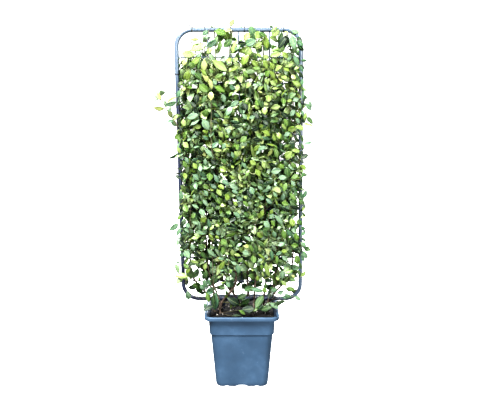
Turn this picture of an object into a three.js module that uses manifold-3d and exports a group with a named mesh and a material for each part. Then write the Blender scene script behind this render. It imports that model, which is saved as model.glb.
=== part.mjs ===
// Star jasmine trained up a tube-framed wire trellis in a square nursery pot.
// Millimetres, +Z up, the front is -Y. The origin is the middle of the pot's underside.

import * as THREE from 'three';
import { mergeVertices } from 'three/addons/utils/BufferGeometryUtils.js';
import { OBB } from 'three/addons/math/OBB.js';
import Module from 'manifold-3d';

const wasm = await Module();
wasm.setup();

// Driving dimensions of the pot
const RIM_HALF = 150;
const POT_HEIGHT = 312;
const RIM_BAND = 17;
const RIM_FLANGE = 16;
const LIP_CREST = 5;
const LIP_SLOPE = 14;
const LIP_DROP = 5;
const LIP_THICK = 6;
const WALL = 3;
const STEP_HEIGHT = 229;
const STEP_HALF = 125;
const STEP_INWARD = 5;
const BASE_HALF = 106;
const TOP_CORNER = 35;
const WALL_CORNER = 29;
const BASE_CORNER = 26;
const FOOT_LIFT = 11;
const FOOT_INSET = 5;
const FOOT_WIDTH = 7;
const PAD_HALF = 52;
const CORNER_STEPS = 3;
const ARCH_WIDTH = 60;
const ARCH_HEIGHT = 9;
const ARCH_BELL = [[1, -0.22], [0.78, 0.3], [0.47, 0.88], [0.2, 1]];
const ARCH_DEPTH = 24;
const SIDE_ARCH_WIDTH = 24;
const SIDE_ARCH_HEIGHT = 5;
const SIDE_ARCH_OFFSET = 61;
const DRAIN_RADIUS = 7;
const DRAIN_RING = 74;
const DRAIN_HOLES = 8;

// Driving dimensions of the soil
const SOIL_TOP = 297;
const SOIL_CROWN = 5;
const FIT_GAP = 0.35;
const HOLE_FLOOR = 226;
const HOLE_SIDES = 7;

// Driving dimensions of the trellis
const FRAME_WIDTH = 500;
const FRAME_BOTTOM = 333;
const FRAME_TOP = 1433;
const TUBE = 16;
const TUBE_SIDES = 10;
const FRAME_CORNER = 72;
const FRAME_CORNER_STEPS = 6;
const WIRE = 5;
const WIRE_SIDES = 6;
const WIRE_PLANE = 2.7;
const UPRIGHT_X = [-120, 0, 120];
const CROSS_LOWEST = 417;
const CROSS_PITCH = 100.5;
const CROSS_WIRES = 10;
const LEAN = 0.0105;
const LEG_X = 76;
const LEG = 12;
const TIE_BORE = 9.1;
const TIE_THICK = 2.2;
const TIE_WIDE = 4;
const TIE_SIDES = 8;

// Driving dimensions of the plant
const STEM_SIDES = 4;
const STEM_TIP_RADIUS = 1.5;
const WEAVE = 11;
const WEAVE_AT_TUBE = 15;
const WANDER = 6;
const SHOOT_SIDES = 3;
const SHOOT_STEPS = 4;
const SHOOT_RADIUS = 1.7;
const LEAF_THICK = 1;
const LEAF_RIB = 1.7;
const LEAF_LONG = 75;
const LEAF_SHORT = 58;
const LEAF_SLIM = 0.49;
const LEAF_CLEARANCE = 0.4;
const LEAF_TRIES = 8;
const LEAF_CRAMPED = 0.86;
const LEAF_FACING = 1.2;
const LEAF_LOWEST = -50;
const LEAF_STEEPEST = 60;
const SLIVER = 0.1;
const FIRST_LEAFY = 4;
const STEM_PAIRS = [0.28, 0.76];
const SHOOT_PAIRS = [0.6];

// One entry for each main stem: where it leaves the soil, the height over which it fans out to its lane, its
// lane up the trellis, its tip and its root radius. side is -1 where it starts in front of the wires and 1
// where it starts behind them.
const STEMS = [
  { x: -112, y: -34, fan: 170, lane: -209, tip: 1312, radius: 3.6, side: -1, turn: 0.2 },
  { x: -96, y: 40, fan: 170, lane: -165, tip: 1352, radius: 3.2, side: 1, turn: 1.1 },
  { x: -88, y: -70, fan: 170, lane: -138, tip: 1402, radius: 3.4, side: -1, turn: 2.3 },
  { x: -10, y: 34, fan: 150, lane: -92, tip: 1436, radius: 4.0, side: 1, turn: 0.7 },
  { x: -92, y: -24, fan: 120, lane: -30, tip: 1430, radius: 5.4, side: -1, turn: 1.8 },
  { x: 22, y: 44, fan: 170, lane: 30, tip: 1400, radius: 4.6, side: 1, turn: 2.9 },
  { x: 48, y: -46, fan: 170, lane: 66, tip: 1416, radius: 3.6, side: -1, turn: 0.4 },
  { x: 90, y: 30, fan: 170, lane: 101, tip: 1396, radius: 4.2, side: 1, turn: 1.5 },
  { x: 102, y: -38, fan: 170, lane: 152, tip: 1420, radius: 3.4, side: -1, turn: 2.6 },
  { x: 114, y: 50, fan: 170, lane: 205, tip: 1392, radius: 3.4, side: 1, turn: 1.0 },
];

// One entry for each side shoot: its stem, the height it leaves it, the point it bends by, its tip, its pairs
// of leaves and their size against a stem's.
const SHOOTS = [
  { stem: 0, from: 994, by: [-236, -24, 1040], to: [-326, -30, 1196], pairs: 5, leaf: 0.68 },
  { stem: 0, from: 592, by: [-226, -30, 600], to: [-248, -40, 640], pairs: 2, leaf: 0.85 },
  { stem: 0, from: 442, by: [-226, -32, 440], to: [-260, -44, 462], pairs: 2, leaf: 0.85 },
  { stem: 1, from: 391, by: [-180, 30, 380], to: [-226, 44, 372], pairs: 2, leaf: 0.8 },
  { stem: 1, from: 331, by: [-140, 44, 348], to: [-166, 52, 338], pairs: 1, leaf: 1 },
  { stem: 2, from: 331, by: [-112, -74, 350], to: [-118, -98, 338], pairs: 1, leaf: 1 },
  { stem: 4, from: 331, by: [-30, -70, 350], to: [-4, -92, 342], pairs: 1, leaf: 1 },
  { stem: 6, from: 331, by: [66, -80, 346], to: [52, -112, 330], pairs: 1, leaf: 1 },
  { stem: 8, from: 331, by: [124, -60, 346], to: [128, -92, 334], pairs: 1, leaf: 1 },
  { stem: 9, from: 391, by: [206, 34, 372], to: [236, 44, 356], pairs: 2, leaf: 0.8 },
  { stem: 9, from: 494, by: [236, 34, 506], to: [262, 40, 556], pairs: 2, leaf: 0.8 },
  { stem: 9, from: 1146, by: [226, 32, 1206], to: [254, 36, 1132], pairs: 3, leaf: 0.8 },
];

// One entry for each tie: the point of the tube's middle line that it holds and where its loose tail ends.
const TIES = [
  { name: 'tie_top_1', at: [-180, 0, 1425], along: 'x', tail: [-206, -6, 1452] },
  { name: 'tie_top_2', at: [-130, 0, 1425], along: 'x', tail: [-146, -8, 1450] },
  { name: 'tie_top_3', at: [-31, 0, 1425], along: 'x', tail: [-24, -10, 1446] },
  { name: 'tie_top_4', at: [23, 0, 1425], along: 'x', tail: [22, -6, 1446] },
  { name: 'tie_top_5', at: [175, 0, 1425], along: 'x', tail: [168, -4, 1458] },
  { name: 'tie_left_1', at: [-242, 0, 1256], along: 'z', tail: [-262, -6, 1264] },
  { name: 'tie_left_2', at: [-242, 0, 1182], along: 'z', tail: [-268, -6, 1196] },
  { name: 'tie_left_3', at: [-242, 0, 886], along: 'z', tail: [-262, -8, 880] },
  { name: 'tie_right_1', at: [242, 0, 1284], along: 'z', tail: [262, -6, 1296] },
];

const finishes = {
  pot: { color: 0x4e6a88, roughness: 0.55, metalness: 0 },
  soil: { color: 0x1d1712, roughness: 1, metalness: 0 },
  steel: { color: 0x4a5263, roughness: 0.4, metalness: 0.3 },
  tie: { color: 0x23262c, roughness: 0.6, metalness: 0 },
  leaf: { color: 0x5f8f35, roughness: 0.4, metalness: 0 },
};

function named(name, geometry, finish) {
  const material = new THREE.MeshStandardMaterial({ ...finishes[finish], name: finish });
  const mesh = new THREE.Mesh(geometry, material);
  mesh.name = name;
  return mesh;
}

// The trellis stands a little out of plumb, so what is above its bottom tube slides to the left with height.
function leaned(mesh) {
  const at = mesh.geometry.attributes.position;
  for (let i = 0; i < at.count; i++) {
    at.setX(i, at.getX(i) - LEAN * Math.max(at.getZ(i) - FRAME_BOTTOM, 0));
  }
  return mesh;
}

function sixVolumes(geometry) {
  const at = geometry.attributes.position;
  const corner = [0, 1, 2].map(() => new THREE.Vector3());
  let sum = 0;
  for (let i = 0; i < geometry.index.count; i += 3) {
    corner.forEach((point, k) => point.fromBufferAttribute(at, geometry.index.getX(i + k)));
    sum += corner[0].dot(corner[1].cross(corner[2]));
  }
  return sum;
}

// Shares the vertices, drops the triangles that have shrunk to a line and turns the faces outward.
function closed(geometry) {
  geometry.deleteAttribute('normal');
  geometry.deleteAttribute('uv');
  const merged = mergeVertices(geometry, 1e-4);
  const kept = [];
  for (let i = 0; i < merged.index.count; i += 3) {
    const [a, b, c] = [0, 1, 2].map((k) => merged.index.getX(i + k));
    if (a !== b && b !== c && a !== c) {
      kept.push(a, b, c);
    }
  }
  merged.setIndex(kept);
  if (sixVolumes(merged) < 0) {
    merged.setIndex(kept.reverse());
  }
  return merged;
}

function toSolid(geometry) {
  const merged = closed(geometry);
  const vertProperties = new Float32Array(merged.attributes.position.array);
  const triVerts = new Uint32Array(merged.index.array);
  return new wasm.Manifold(new wasm.Mesh({ numProp: 3, vertProperties, triVerts }));
}

function toGeometry(solid) {
  const mesh = solid.getMesh();
  const geometry = new THREE.BufferGeometry();
  geometry.setAttribute('position', new THREE.BufferAttribute(new Float32Array(mesh.vertProperties), 3));
  geometry.setIndex(new THREE.BufferAttribute(new Uint32Array(mesh.triVerts), 1));
  return geometry;
}

const smooth = (low, high, value) => THREE.MathUtils.smoothstep(value, low, high);
const mix = THREE.MathUtils.lerp;

// A lathe whose round section is reshaped to a rounded rectangle. Each profile point gives the half sides
// x and y, the corner radius and the height z.
function roundedLoft(profile, cornerSteps) {
  const perCorner = cornerSteps + 1;
  const outline = profile.map((p) => new THREE.Vector2(Math.max(p.x, 0), p.z));
  const geometry = new THREE.LatheGeometry(outline, 4 * perCorner);
  const at = geometry.attributes.position;
  for (let column = 0; column <= 4 * perCorner; column++) {
    const quarter = Math.floor(column / perCorner) % 4;
    const angle = (quarter + (column % perCorner) / cornerSteps) * Math.PI / 2;
    const cornerX = quarter === 0 || quarter === 3 ? 1 : -1;
    const cornerY = quarter < 2 ? 1 : -1;
    profile.forEach((p, row) => {
      const radius = Math.min(p.corner, p.x, p.y);
      const x = cornerX * (p.x - radius) + radius * Math.cos(angle);
      const y = cornerY * (p.y - radius) + radius * Math.sin(angle);
      at.setXYZ(column * profile.length + row, x, y, p.z);
    });
  }
  return closed(geometry);
}

// A cylinder bent along a list of points, with a radius for each point.
function along(points, radii, sides) {
  const steps = points.length - 1;
  const geometry = closed(new THREE.CylinderGeometry(1, 1, 1, sides, steps));
  const level = Math.abs(points[1].x - points[0].x) > Math.abs(points[1].z - points[0].z);
  const across = level ? new THREE.Vector3(0, 0, 1) : new THREE.Vector3(1, 0, 0);
  const rings = points.map((point, i) => {
    const ahead = points[Math.min(i + 1, steps)];
    const behind = points[Math.max(i - 1, 0)];
    const heading = ahead.clone().sub(behind).normalize();
    across.addScaledVector(heading, -across.dot(heading)).normalize();
    return { point, radius: radii[i], across: across.clone(), second: heading.clone().cross(across) };
  });
  const at = geometry.attributes.position;
  const vertex = new THREE.Vector3();
  for (let i = 0; i < at.count; i++) {
    const ring = rings[Math.round((at.getY(i) + 0.5) * steps)];
    vertex.copy(ring.point);
    vertex.addScaledVector(ring.across, at.getX(i) * ring.radius);
    vertex.addScaledVector(ring.second, at.getZ(i) * ring.radius);
    at.setXYZ(i, vertex.x, vertex.y, vertex.z);
  }
  return closed(geometry);
}

const vector = (list) => new THREE.Vector3(...list);
const rod = (from, to, radius, sides) => along([vector(from), vector(to)], [radius, radius], sides);

// Half side of the pot's outer wall at a height, below the rim: two tapers with a step between them
function wallHalf(z) {
  if (z > STEP_HEIGHT) {
    const share = (z - STEP_HEIGHT) / (POT_HEIGHT - STEP_HEIGHT);
    return mix(STEP_HALF + STEP_INWARD, RIM_HALF - RIM_FLANGE, share);
  }
  return mix(BASE_HALF, STEP_HALF, z / STEP_HEIGHT);
}

const wallCorner = (z) => mix(BASE_CORNER, WALL_CORNER, z / POT_HEIGHT);
const square = (half, corner, z) => ({ x: half, y: half, corner, z });
const onWall = (z, inset) => square(wallHalf(z) - inset, wallCorner(z) - inset, z);

// Bell-shaped notch through the foot on the front side
function archCutter(width, height, offset) {
  const half = width / 2;
  const right = ARCH_BELL.map(([share, rise]) => new THREE.Vector2(offset + share * half, rise * height));
  const left = ARCH_BELL.map(([share, rise]) => new THREE.Vector2(offset - share * half, rise * height));
  const outline = new THREE.Shape([...right, ...left.reverse()]);
  const cutter = new THREE.ExtrudeGeometry(outline, { depth: ARCH_DEPTH, bevelEnabled: false });
  cutter.rotateX(Math.PI / 2);
  cutter.translate(0, -BASE_HALF + ARCH_DEPTH - FOOT_INSET - 1, 0);
  return cutter;
}

// The section runs from the middle underneath, out over the foot, up the wall, round the rolled lip with its
// open groove, and down the inside to the middle of the floor.
function pot() {
  const underRim = POT_HEIGHT - RIM_BAND;
  const underLip = POT_HEIGHT - LIP_THICK;
  const floorTop = FOOT_LIFT + WALL;
  const footOuter = BASE_HALF - FOOT_INSET;
  const footInner = footOuter - FOOT_WIDTH;
  const shell = roundedLoft([
    square(0, 0, 0),
    square(PAD_HALF, BASE_CORNER, 0),
    square(PAD_HALF + 6, BASE_CORNER, FOOT_LIFT),
    square(footInner - 4, BASE_CORNER - 12, FOOT_LIFT),
    square(footInner, BASE_CORNER - 10, 0),
    square(footOuter, BASE_CORNER - 4, 0),
    square(BASE_HALF - 1, BASE_CORNER - 1, 5),
    onWall(16, 0),
    onWall(STEP_HEIGHT - 3, 0),
    onWall(STEP_HEIGHT + 2, 0),
    onWall(underLip - WALL, 0),
    square(RIM_HALF - 8, WALL_CORNER + 1, underLip),
    square(RIM_HALF - WALL, TOP_CORNER - WALL, underLip),
    square(RIM_HALF - WALL, TOP_CORNER - WALL, underRim),
    square(RIM_HALF - 0.6, TOP_CORNER - 0.6, underRim),
    square(RIM_HALF, TOP_CORNER, POT_HEIGHT - 3.5),
    square(RIM_HALF - LIP_CREST, TOP_CORNER - 3, POT_HEIGHT),
    square(RIM_HALF - LIP_SLOPE, WALL_CORNER - 1, POT_HEIGHT - LIP_DROP),
    onWall(underLip - LIP_DROP, WALL),
    onWall(STEP_HEIGHT + 4, WALL),
    onWall(STEP_HEIGHT - 1, WALL),
    onWall(floorTop + 4, WALL + 1),
    square(BASE_HALF - 10, BASE_CORNER - 10, floorTop),
    square(PAD_HALF + 3, BASE_CORNER, floorTop),
    square(PAD_HALF - 3, BASE_CORNER - 3, WALL),
    square(0, 0, WALL),
  ], CORNER_STEPS);
  let solid = toSolid(shell);
  const arches = [
    [ARCH_WIDTH, ARCH_HEIGHT, 0],
    [SIDE_ARCH_WIDTH, SIDE_ARCH_HEIGHT, -SIDE_ARCH_OFFSET],
    [SIDE_ARCH_WIDTH, SIDE_ARCH_HEIGHT, SIDE_ARCH_OFFSET],
  ];
  for (let side = 0; side < 4; side++) {
    for (const arch of arches) {
      solid = solid.subtract(toSolid(archCutter(...arch).rotateZ(side * Math.PI / 2)));
    }
  }
  for (let hole = 0; hole < DRAIN_HOLES; hole++) {
    const angle = (hole + 0.5) * 2 * Math.PI / DRAIN_HOLES;
    const x = DRAIN_RING * Math.cos(angle);
    const y = DRAIN_RING * Math.sin(angle);
    solid = solid.subtract(toSolid(rod([x, y, 5], [x, y, floorTop + 5], DRAIN_RADIUS, 8)));
  }
  return named('pot', toGeometry(solid), 'pot');
}

// Middle line of a main stem at a height. It stands straight in the soil, fans out to its lane and then
// passes in front of one cross wire and behind the next.
function stemPoint(stem, z) {
  const spread = smooth(SOIL_TOP + 6, SOIL_TOP + 6 + stem.fan, z);
  const lane = stem.lane + WANDER * Math.sin(z / 96 + 2 * stem.turn);
  const weave = mix(WEAVE, WEAVE_AT_TUBE, smooth(FRAME_TOP - 110, FRAME_TOP - 20, z));
  const woven = stem.side * weave * Math.cos(Math.PI * (z - CROSS_LOWEST) / CROSS_PITCH);
  const inMesh = smooth(FRAME_BOTTOM + TUBE + 6, CROSS_LOWEST, z);
  const low = mix(stem.y, stem.side * WEAVE_AT_TUBE * 1.2, smooth(SOIL_TOP + 6, FRAME_BOTTOM + 6, z));
  return new THREE.Vector3(mix(stem.x, lane, spread), mix(low, woven, inMesh), z);
}

function stemRadius(stem, z) {
  return mix(stem.radius, STEM_TIP_RADIUS, smooth(SOIL_TOP, stem.tip, z) ** 0.8);
}

function stemHeights(stem) {
  const heights = [HOLE_FLOOR + 2, SOIL_TOP + 6, FRAME_BOTTOM - 4, FRAME_BOTTOM + TUBE + 4, 384];
  for (let z = CROSS_LOWEST; z < stem.tip - 12; z += CROSS_PITCH / 2) {
    heights.push(z);
  }
  heights.push(stem.tip);
  return heights;
}

function soil() {
  const mound = toSolid(roundedLoft([
    square(0, 0, FOOT_LIFT + WALL + FIT_GAP),
    square(BASE_HALF - 12, BASE_CORNER - 11, FOOT_LIFT + WALL + FIT_GAP),
    onWall(FOOT_LIFT + WALL + 8, WALL + 1 + FIT_GAP),
    { ...onWall(STEP_HEIGHT - 1, WALL + FIT_GAP), z: STEP_HEIGHT - 0.3 },
    { ...onWall(STEP_HEIGHT + 4, WALL + FIT_GAP), z: STEP_HEIGHT + 4.7 },
    onWall(SOIL_TOP - 4, WALL + FIT_GAP),
    square(106, 30, SOIL_TOP),
    square(70, 40, SOIL_TOP + SOIL_CROWN * 0.7),
    square(30, 24, SOIL_TOP + SOIL_CROWN),
    square(0, 0, SOIL_TOP + SOIL_CROWN),
  ], CORNER_STEPS));
  const legs = [-LEG_X, LEG_X].map((x) => ({ x, y: 0, radius: LEG / 2 }));
  return named('soil', toGeometry([...STEMS, ...legs].reduce((solid, { x, y, radius }) => {
    const fit = (radius + FIT_GAP) / Math.cos(Math.PI / HOLE_SIDES);
    return solid.subtract(toSolid(rod([x, y, HOLE_FLOOR], [x, y, SOIL_TOP + 30], fit, HOLE_SIDES)));
  }, mound)), 'soil');
}

function trellisFrame() {
  const half = FRAME_WIDTH / 2 - TUBE / 2;
  const tall = (FRAME_TOP - FRAME_BOTTOM) / 2 - TUBE / 2;
  const bend = FRAME_CORNER - TUBE / 2;
  const profile = [];
  for (let i = 0; i <= TUBE_SIDES; i++) {
    const angle = 2 * Math.PI * i / TUBE_SIDES;
    const out = TUBE / 2 * Math.cos(angle);
    profile.push({ x: half + out, y: tall + out, corner: bend + out, z: TUBE / 2 * Math.sin(angle) });
  }
  const loop = roundedLoft(profile, FRAME_CORNER_STEPS);
  loop.rotateX(Math.PI / 2);
  loop.translate(0, 0, (FRAME_TOP + FRAME_BOTTOM) / 2);
  return named('trellis_frame', loop, 'steel');
}

function trellisWires() {
  const low = FRAME_BOTTOM + TUBE + FIT_GAP;
  const high = FRAME_TOP - TUBE - FIT_GAP;
  const side = FRAME_WIDTH / 2 - TUBE - FIT_GAP;
  const uprights = UPRIGHT_X.map((x, i) => named(
    `trellis_upright_${i + 1}`,
    rod([x, WIRE_PLANE, low], [x, WIRE_PLANE, high], WIRE / 2, WIRE_SIDES),
    'steel',
  ));
  const crosses = Array.from({ length: CROSS_WIRES }, (_, i) => {
    const z = CROSS_LOWEST + i * CROSS_PITCH;
    const name = `trellis_crosswire_${String(i + 1).padStart(2, '0')}`;
    return named(name, rod([-side, -WIRE_PLANE, z], [side, -WIRE_PLANE, z], WIRE / 2, WIRE_SIDES), 'steel');
  });
  return [...uprights, ...crosses];
}

function trellisLegs() {
  const high = FRAME_BOTTOM - FIT_GAP;
  return [['left', -LEG_X], ['right', LEG_X]].map(([side, x]) => named(
    `trellis_leg_${side}`,
    rod([x, 0, HOLE_FLOOR + 2], [x, 0, high], LEG / 2, 10),
    'steel',
  ));
}

// A band round the tube with a loose tail, as a wire tie has
function tie({ name, at, along: direction, tail }) {
  const inner = TIE_BORE;
  const outer = TIE_BORE + TIE_THICK;
  const half = TIE_WIDE / 2;
  const band = new THREE.LatheGeometry([
    new THREE.Vector2(inner, -half),
    new THREE.Vector2(outer, -half),
    new THREE.Vector2(outer, half),
    new THREE.Vector2(inner, half),
    new THREE.Vector2(inner, -half),
  ], TIE_SIDES);
  if (direction === 'x') {
    band.rotateZ(Math.PI / 2);
  } else {
    band.rotateX(Math.PI / 2);
  }
  band.translate(...at);
  const end = vector(tail);
  const toTail = end.clone().sub(vector(at));
  toTail[direction] = 0;
  const root = vector(at).addScaledVector(toTail.normalize(), inner + 0.9);
  const solid = toSolid(band).add(toSolid(along([root, end], [1.5, 0.8], 3)));
  return named(name, toGeometry(solid), 'tie');
}

// Draws that depend only on the numbers given, so that each leaf has its own
function drawsFor(...numbers) {
  const factors = [7919, 104729, 1299709, 15485863];
  let state = numbers.reduce((sum, number, i) => (sum + (number + 1) * factors[i]) >>> 0, 12345);
  return () => {
    state = (Math.imul(state, 1664525) + 1013904223) >>> 0;
    return state / 4294967296;
  };
}

// The blade lies along +X from its root, its upper face to +Z, arched down to the tip. Its upper face runs
// straight across between the edges, and a rib thickens it underneath. The root starts behind the origin.
function bladeGeometry(long, sunk) {
  const wide = long * LEAF_SLIM;
  const arch = (share) => long * (0.12 * share - 0.21 * share * share);
  const point = (share, side, under) => [share * long, side * wide, arch(share) - under];
  const corners = [
    [-sunk, 0, 0],
    point(0.34, -0.5, 0),
    point(0.7, -0.41, 0),
    point(1, 0, 0),
    point(0.7, 0.41, 0),
    point(0.34, 0.5, 0),
    point(0.22, 0, LEAF_RIB),
    point(0.66, 0, LEAF_THICK),
  ];
  const upper = [[0, 1, 5], [1, 2, 4], [1, 4, 5], [2, 3, 4]];
  const under = [[0, 5, 6], [0, 6, 1], [5, 4, 7], [5, 7, 6], [6, 7, 1], [1, 7, 2], [4, 3, 7], [2, 7, 3]];
  const blade = new THREE.BufferGeometry();
  blade.setAttribute('position', new THREE.Float32BufferAttribute(corners.flat(), 3));
  blade.setIndex([...upper, ...under].flat());
  return closed(blade);
}

// Box round a blade or a piece of stem, for keeping them clear of each other
function boxAt(centre, xAxis, yAxis, zAxis, halves) {
  const turn = new THREE.Matrix3().set(
    xAxis.x, yAxis.x, zAxis.x,
    xAxis.y, yAxis.y, zAxis.y,
    xAxis.z, yAxis.z, zAxis.z,
  );
  return new OBB(centre, new THREE.Vector3(...halves), turn);
}

function rodBox(from, to, radius) {
  const heading = to.clone().sub(from);
  const half = heading.length() / 2;
  heading.normalize();
  const helper = Math.abs(heading.z) > 0.8 ? vector([1, 0, 0]) : vector([0, 0, 1]);
  const second = helper.cross(heading).normalize();
  const third = heading.clone().cross(second);
  return boxAt(from.clone().add(to).multiplyScalar(0.5), heading, second, third, [half, radius, radius]);
}

function leafPose(root, azimuth, rise, roll, long, sunk) {
  const heading = vector([
    Math.cos(azimuth) * Math.cos(rise),
    Math.sin(azimuth) * Math.cos(rise),
    Math.sin(rise),
  ]).normalize();
  const outward = vector([roll, Math.sign(heading.y) * LEAF_FACING, 0.5]);
  const normal = outward.addScaledVector(heading, -outward.dot(heading)).normalize();
  const sideways = normal.clone().cross(heading);
  const centre = root.clone().addScaledVector(heading, long / 2).addScaledVector(normal, -long * 0.036);
  const halves = [long / 2, long * LEAF_SLIM / 2, long * 0.054];
  const box = boxAt(centre, heading, sideways, normal, halves.map((half) => half + LEAF_CLEARANCE));
  return { root, heading, sideways, normal, long, sunk, box };
}

function leafSolid({ root, heading, sideways, normal, long, sunk }) {
  const matrix = new THREE.Matrix4().makeBasis(heading, sideways, normal).setPosition(root);
  return toSolid(bladeGeometry(long, sunk).applyMatrix4(matrix));
}

// Places where a pair of leaves grows on a line of points, with the radius of the line there
function pairPlaces(points, radii, first, shares) {
  return points.slice(first, -1).flatMap((point, i) => shares.map((share, k) => ({
    at: point.clone().lerp(points[first + i + 1], share),
    radius: mix(radii[first + i], radii[first + i + 1], share),
    order: i * shares.length + k,
  })));
}

// Point on the bent rod that stands for a main stem
function onStem(stem, z) {
  const heights = stemHeights(stem);
  const upper = heights.findIndex((height) => height >= z);
  const share = (z - heights[upper - 1]) / (heights[upper] - heights[upper - 1]);
  return stemPoint(stem, heights[upper - 1]).lerp(stemPoint(stem, heights[upper]), share);
}

function shootLine(shoot) {
  const root = onStem(STEMS[shoot.stem], shoot.from);
  const curve = new THREE.QuadraticBezierCurve3(root, vector(shoot.by), vector(shoot.to));
  return curve.getPoints(Math.max(SHOOT_STEPS, shoot.pairs + 1));
}

// Everything that a leaf has to stay clear of, before the first leaf is placed
function fixedBoxes() {
  const boxes = [];
  const put = (owner, from, to, radius) => boxes.push({ owner, box: rodBox(from, to, radius) });
  const half = FRAME_WIDTH / 2 - TUBE / 2;
  const low = FRAME_BOTTOM + TUBE / 2;
  const high = FRAME_TOP - TUBE / 2;
  const bend = FRAME_CORNER - TUBE / 2;
  const loop = [];
  for (let quarter = 0; quarter < 4; quarter++) {
    const x = (quarter === 0 || quarter === 3 ? 1 : -1) * (half - bend);
    const z = quarter < 2 ? high - bend : low + bend;
    for (let i = 0; i <= 3; i++) {
      const angle = (quarter + i / 3) * Math.PI / 2;
      loop.push(vector([x + bend * Math.cos(angle), 0, z + bend * Math.sin(angle)]));
    }
  }
  loop.forEach((point, i) => put('frame', point, loop[(i + 1) % loop.length], TUBE / 2 + 1.5));
  for (const x of UPRIGHT_X) {
    put('wire', vector([x, WIRE_PLANE, low]), vector([x, WIRE_PLANE, high]), WIRE / 2);
  }
  for (let i = 0; i < CROSS_WIRES; i++) {
    const z = CROSS_LOWEST + i * CROSS_PITCH;
    put('wire', vector([-half, -WIRE_PLANE, z]), vector([half, -WIRE_PLANE, z]), WIRE / 2);
  }
  for (const { at, tail } of TIES) {
    put('tie', vector(at), vector(tail), 3);
    put('tie', vector(at).add(vector([-4, 0, -4])), vector(at).add(vector([4, 0, 4])), 11);
  }
  const rimHeight = POT_HEIGHT - RIM_BAND / 2;
  for (const side of [-1, 1]) {
    const wall = side * (RIM_HALF - 10);
    put('pot', vector([wall, -RIM_HALF, rimHeight]), vector([wall, RIM_HALF, rimHeight]), RIM_BAND / 2 + 2);
    put('pot', vector([-RIM_HALF, wall, rimHeight]), vector([RIM_HALF, wall, rimHeight]), RIM_BAND / 2 + 2);
  }
  put('soil', vector([-RIM_HALF, 0, 280]), vector([RIM_HALF, 0, 280]), 26);
  STEMS.forEach((stem, owner) => {
    const points = stemHeights(stem).map((z) => stemPoint(stem, z));
    points.slice(1).forEach((point, i) => put(owner, points[i], point, stemRadius(stem, point.z) + 0.8));
  });
  SHOOTS.forEach((shoot) => {
    const points = shootLine(shoot);
    points.slice(1).forEach((point, i) => put(shoot.stem, points[i], point, SHOOT_RADIUS + 0.8));
  });
  return boxes;
}

// Opposite pairs, each turned a quarter from the last. A leaf that can't lie clear after a few tries is left
// out.
function growLeaves(owner, line, places, size, boxes) {
  const grown = [];
  for (const { at, radius, order } of places) {
    for (const half of [0, 1]) {
      const mate = grown.at(-1)?.order === order ? grown.at(-1) : null;
      for (let attempt = 0; attempt < LEAF_TRIES; attempt++) {
        const draw = drawsFor(owner, line * 64 + order, half, attempt);
        const azimuth = (order * 0.5 + half + 0.2 + (draw() - 0.5) * 0.34) * Math.PI;
        const rise = mix(LEAF_LOWEST, LEAF_STEEPEST, draw()) * Math.PI / 180;
        const long = size * mix(LEAF_SHORT, LEAF_LONG, draw()) * (attempt > 1 ? LEAF_CRAMPED : 1);
        const pose = leafPose(at, azimuth, rise, draw() - 0.5, long, radius * 0.6);
        const free = boxes.every((other) => (
          other.owner === owner || other === mate?.entry || !other.box.intersectsOBB(pose.box)
        ));
        if (free) {
          const entry = { owner: `leaf ${owner}`, box: pose.box };
          grown.push({ ...pose, order, entry });
          boxes.push(entry);
          break;
        }
      }
    }
  }
  return grown;
}

function vine(owner, boxes) {
  const stem = STEMS[owner];
  const heights = stemHeights(stem);
  const points = heights.map((z) => stemPoint(stem, z));
  const radii = heights.map((z) => stemRadius(stem, z));
  const stemPlaces = pairPlaces(points, radii, FIRST_LEAFY, STEM_PAIRS);
  const leaves = growLeaves(owner, 0, stemPlaces, 1, boxes);
  let solid = toSolid(along(points, radii, STEM_SIDES));
  SHOOTS.forEach((shoot, line) => {
    if (shoot.stem !== owner) {
      return;
    }
    const shootPoints = shootLine(shoot);
    const taper = shootPoints.map((_, i) => SHOOT_RADIUS * (1 - 0.5 * i / shootPoints.length));
    const first = Math.max(shootPoints.length - 1 - shoot.pairs, 1);
    const shootPlaces = pairPlaces(shootPoints, taper, first, SHOOT_PAIRS);
    leaves.push(...growLeaves(owner, line + 1, shootPlaces, shoot.leaf, boxes));
    solid = solid.add(toSolid(along(shootPoints, taper, SHOOT_SIDES)));
  });
  solid = leaves.reduce((grown, leaf) => grown.add(leafSolid(leaf)), solid);
  const name = `vine_${String(owner + 1).padStart(2, '0')}`;
  return leaned(named(name, toGeometry(solid.simplify(SLIVER)), 'leaf'));
}

const pottedJasmine = new THREE.Group();
const boxes = fixedBoxes();
pottedJasmine.add(pot(), soil(), leaned(trellisFrame()), ...trellisWires().map(leaned), ...trellisLegs());
pottedJasmine.add(...TIES.map(tie).map(leaned));
pottedJasmine.add(...STEMS.map((_, owner) => vine(owner, boxes)));

export default pottedJasmine;
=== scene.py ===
"""Star jasmine on a tube-framed wire trellis in a square nursery pot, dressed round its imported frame.

Lengths in the shapes below are millimetres, as a grower or a pot maker would give them, and become metres
when a surface is put into its mesh. The front is -Y and the trellis stands in the plane Y = 0.
"""

import math

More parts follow.
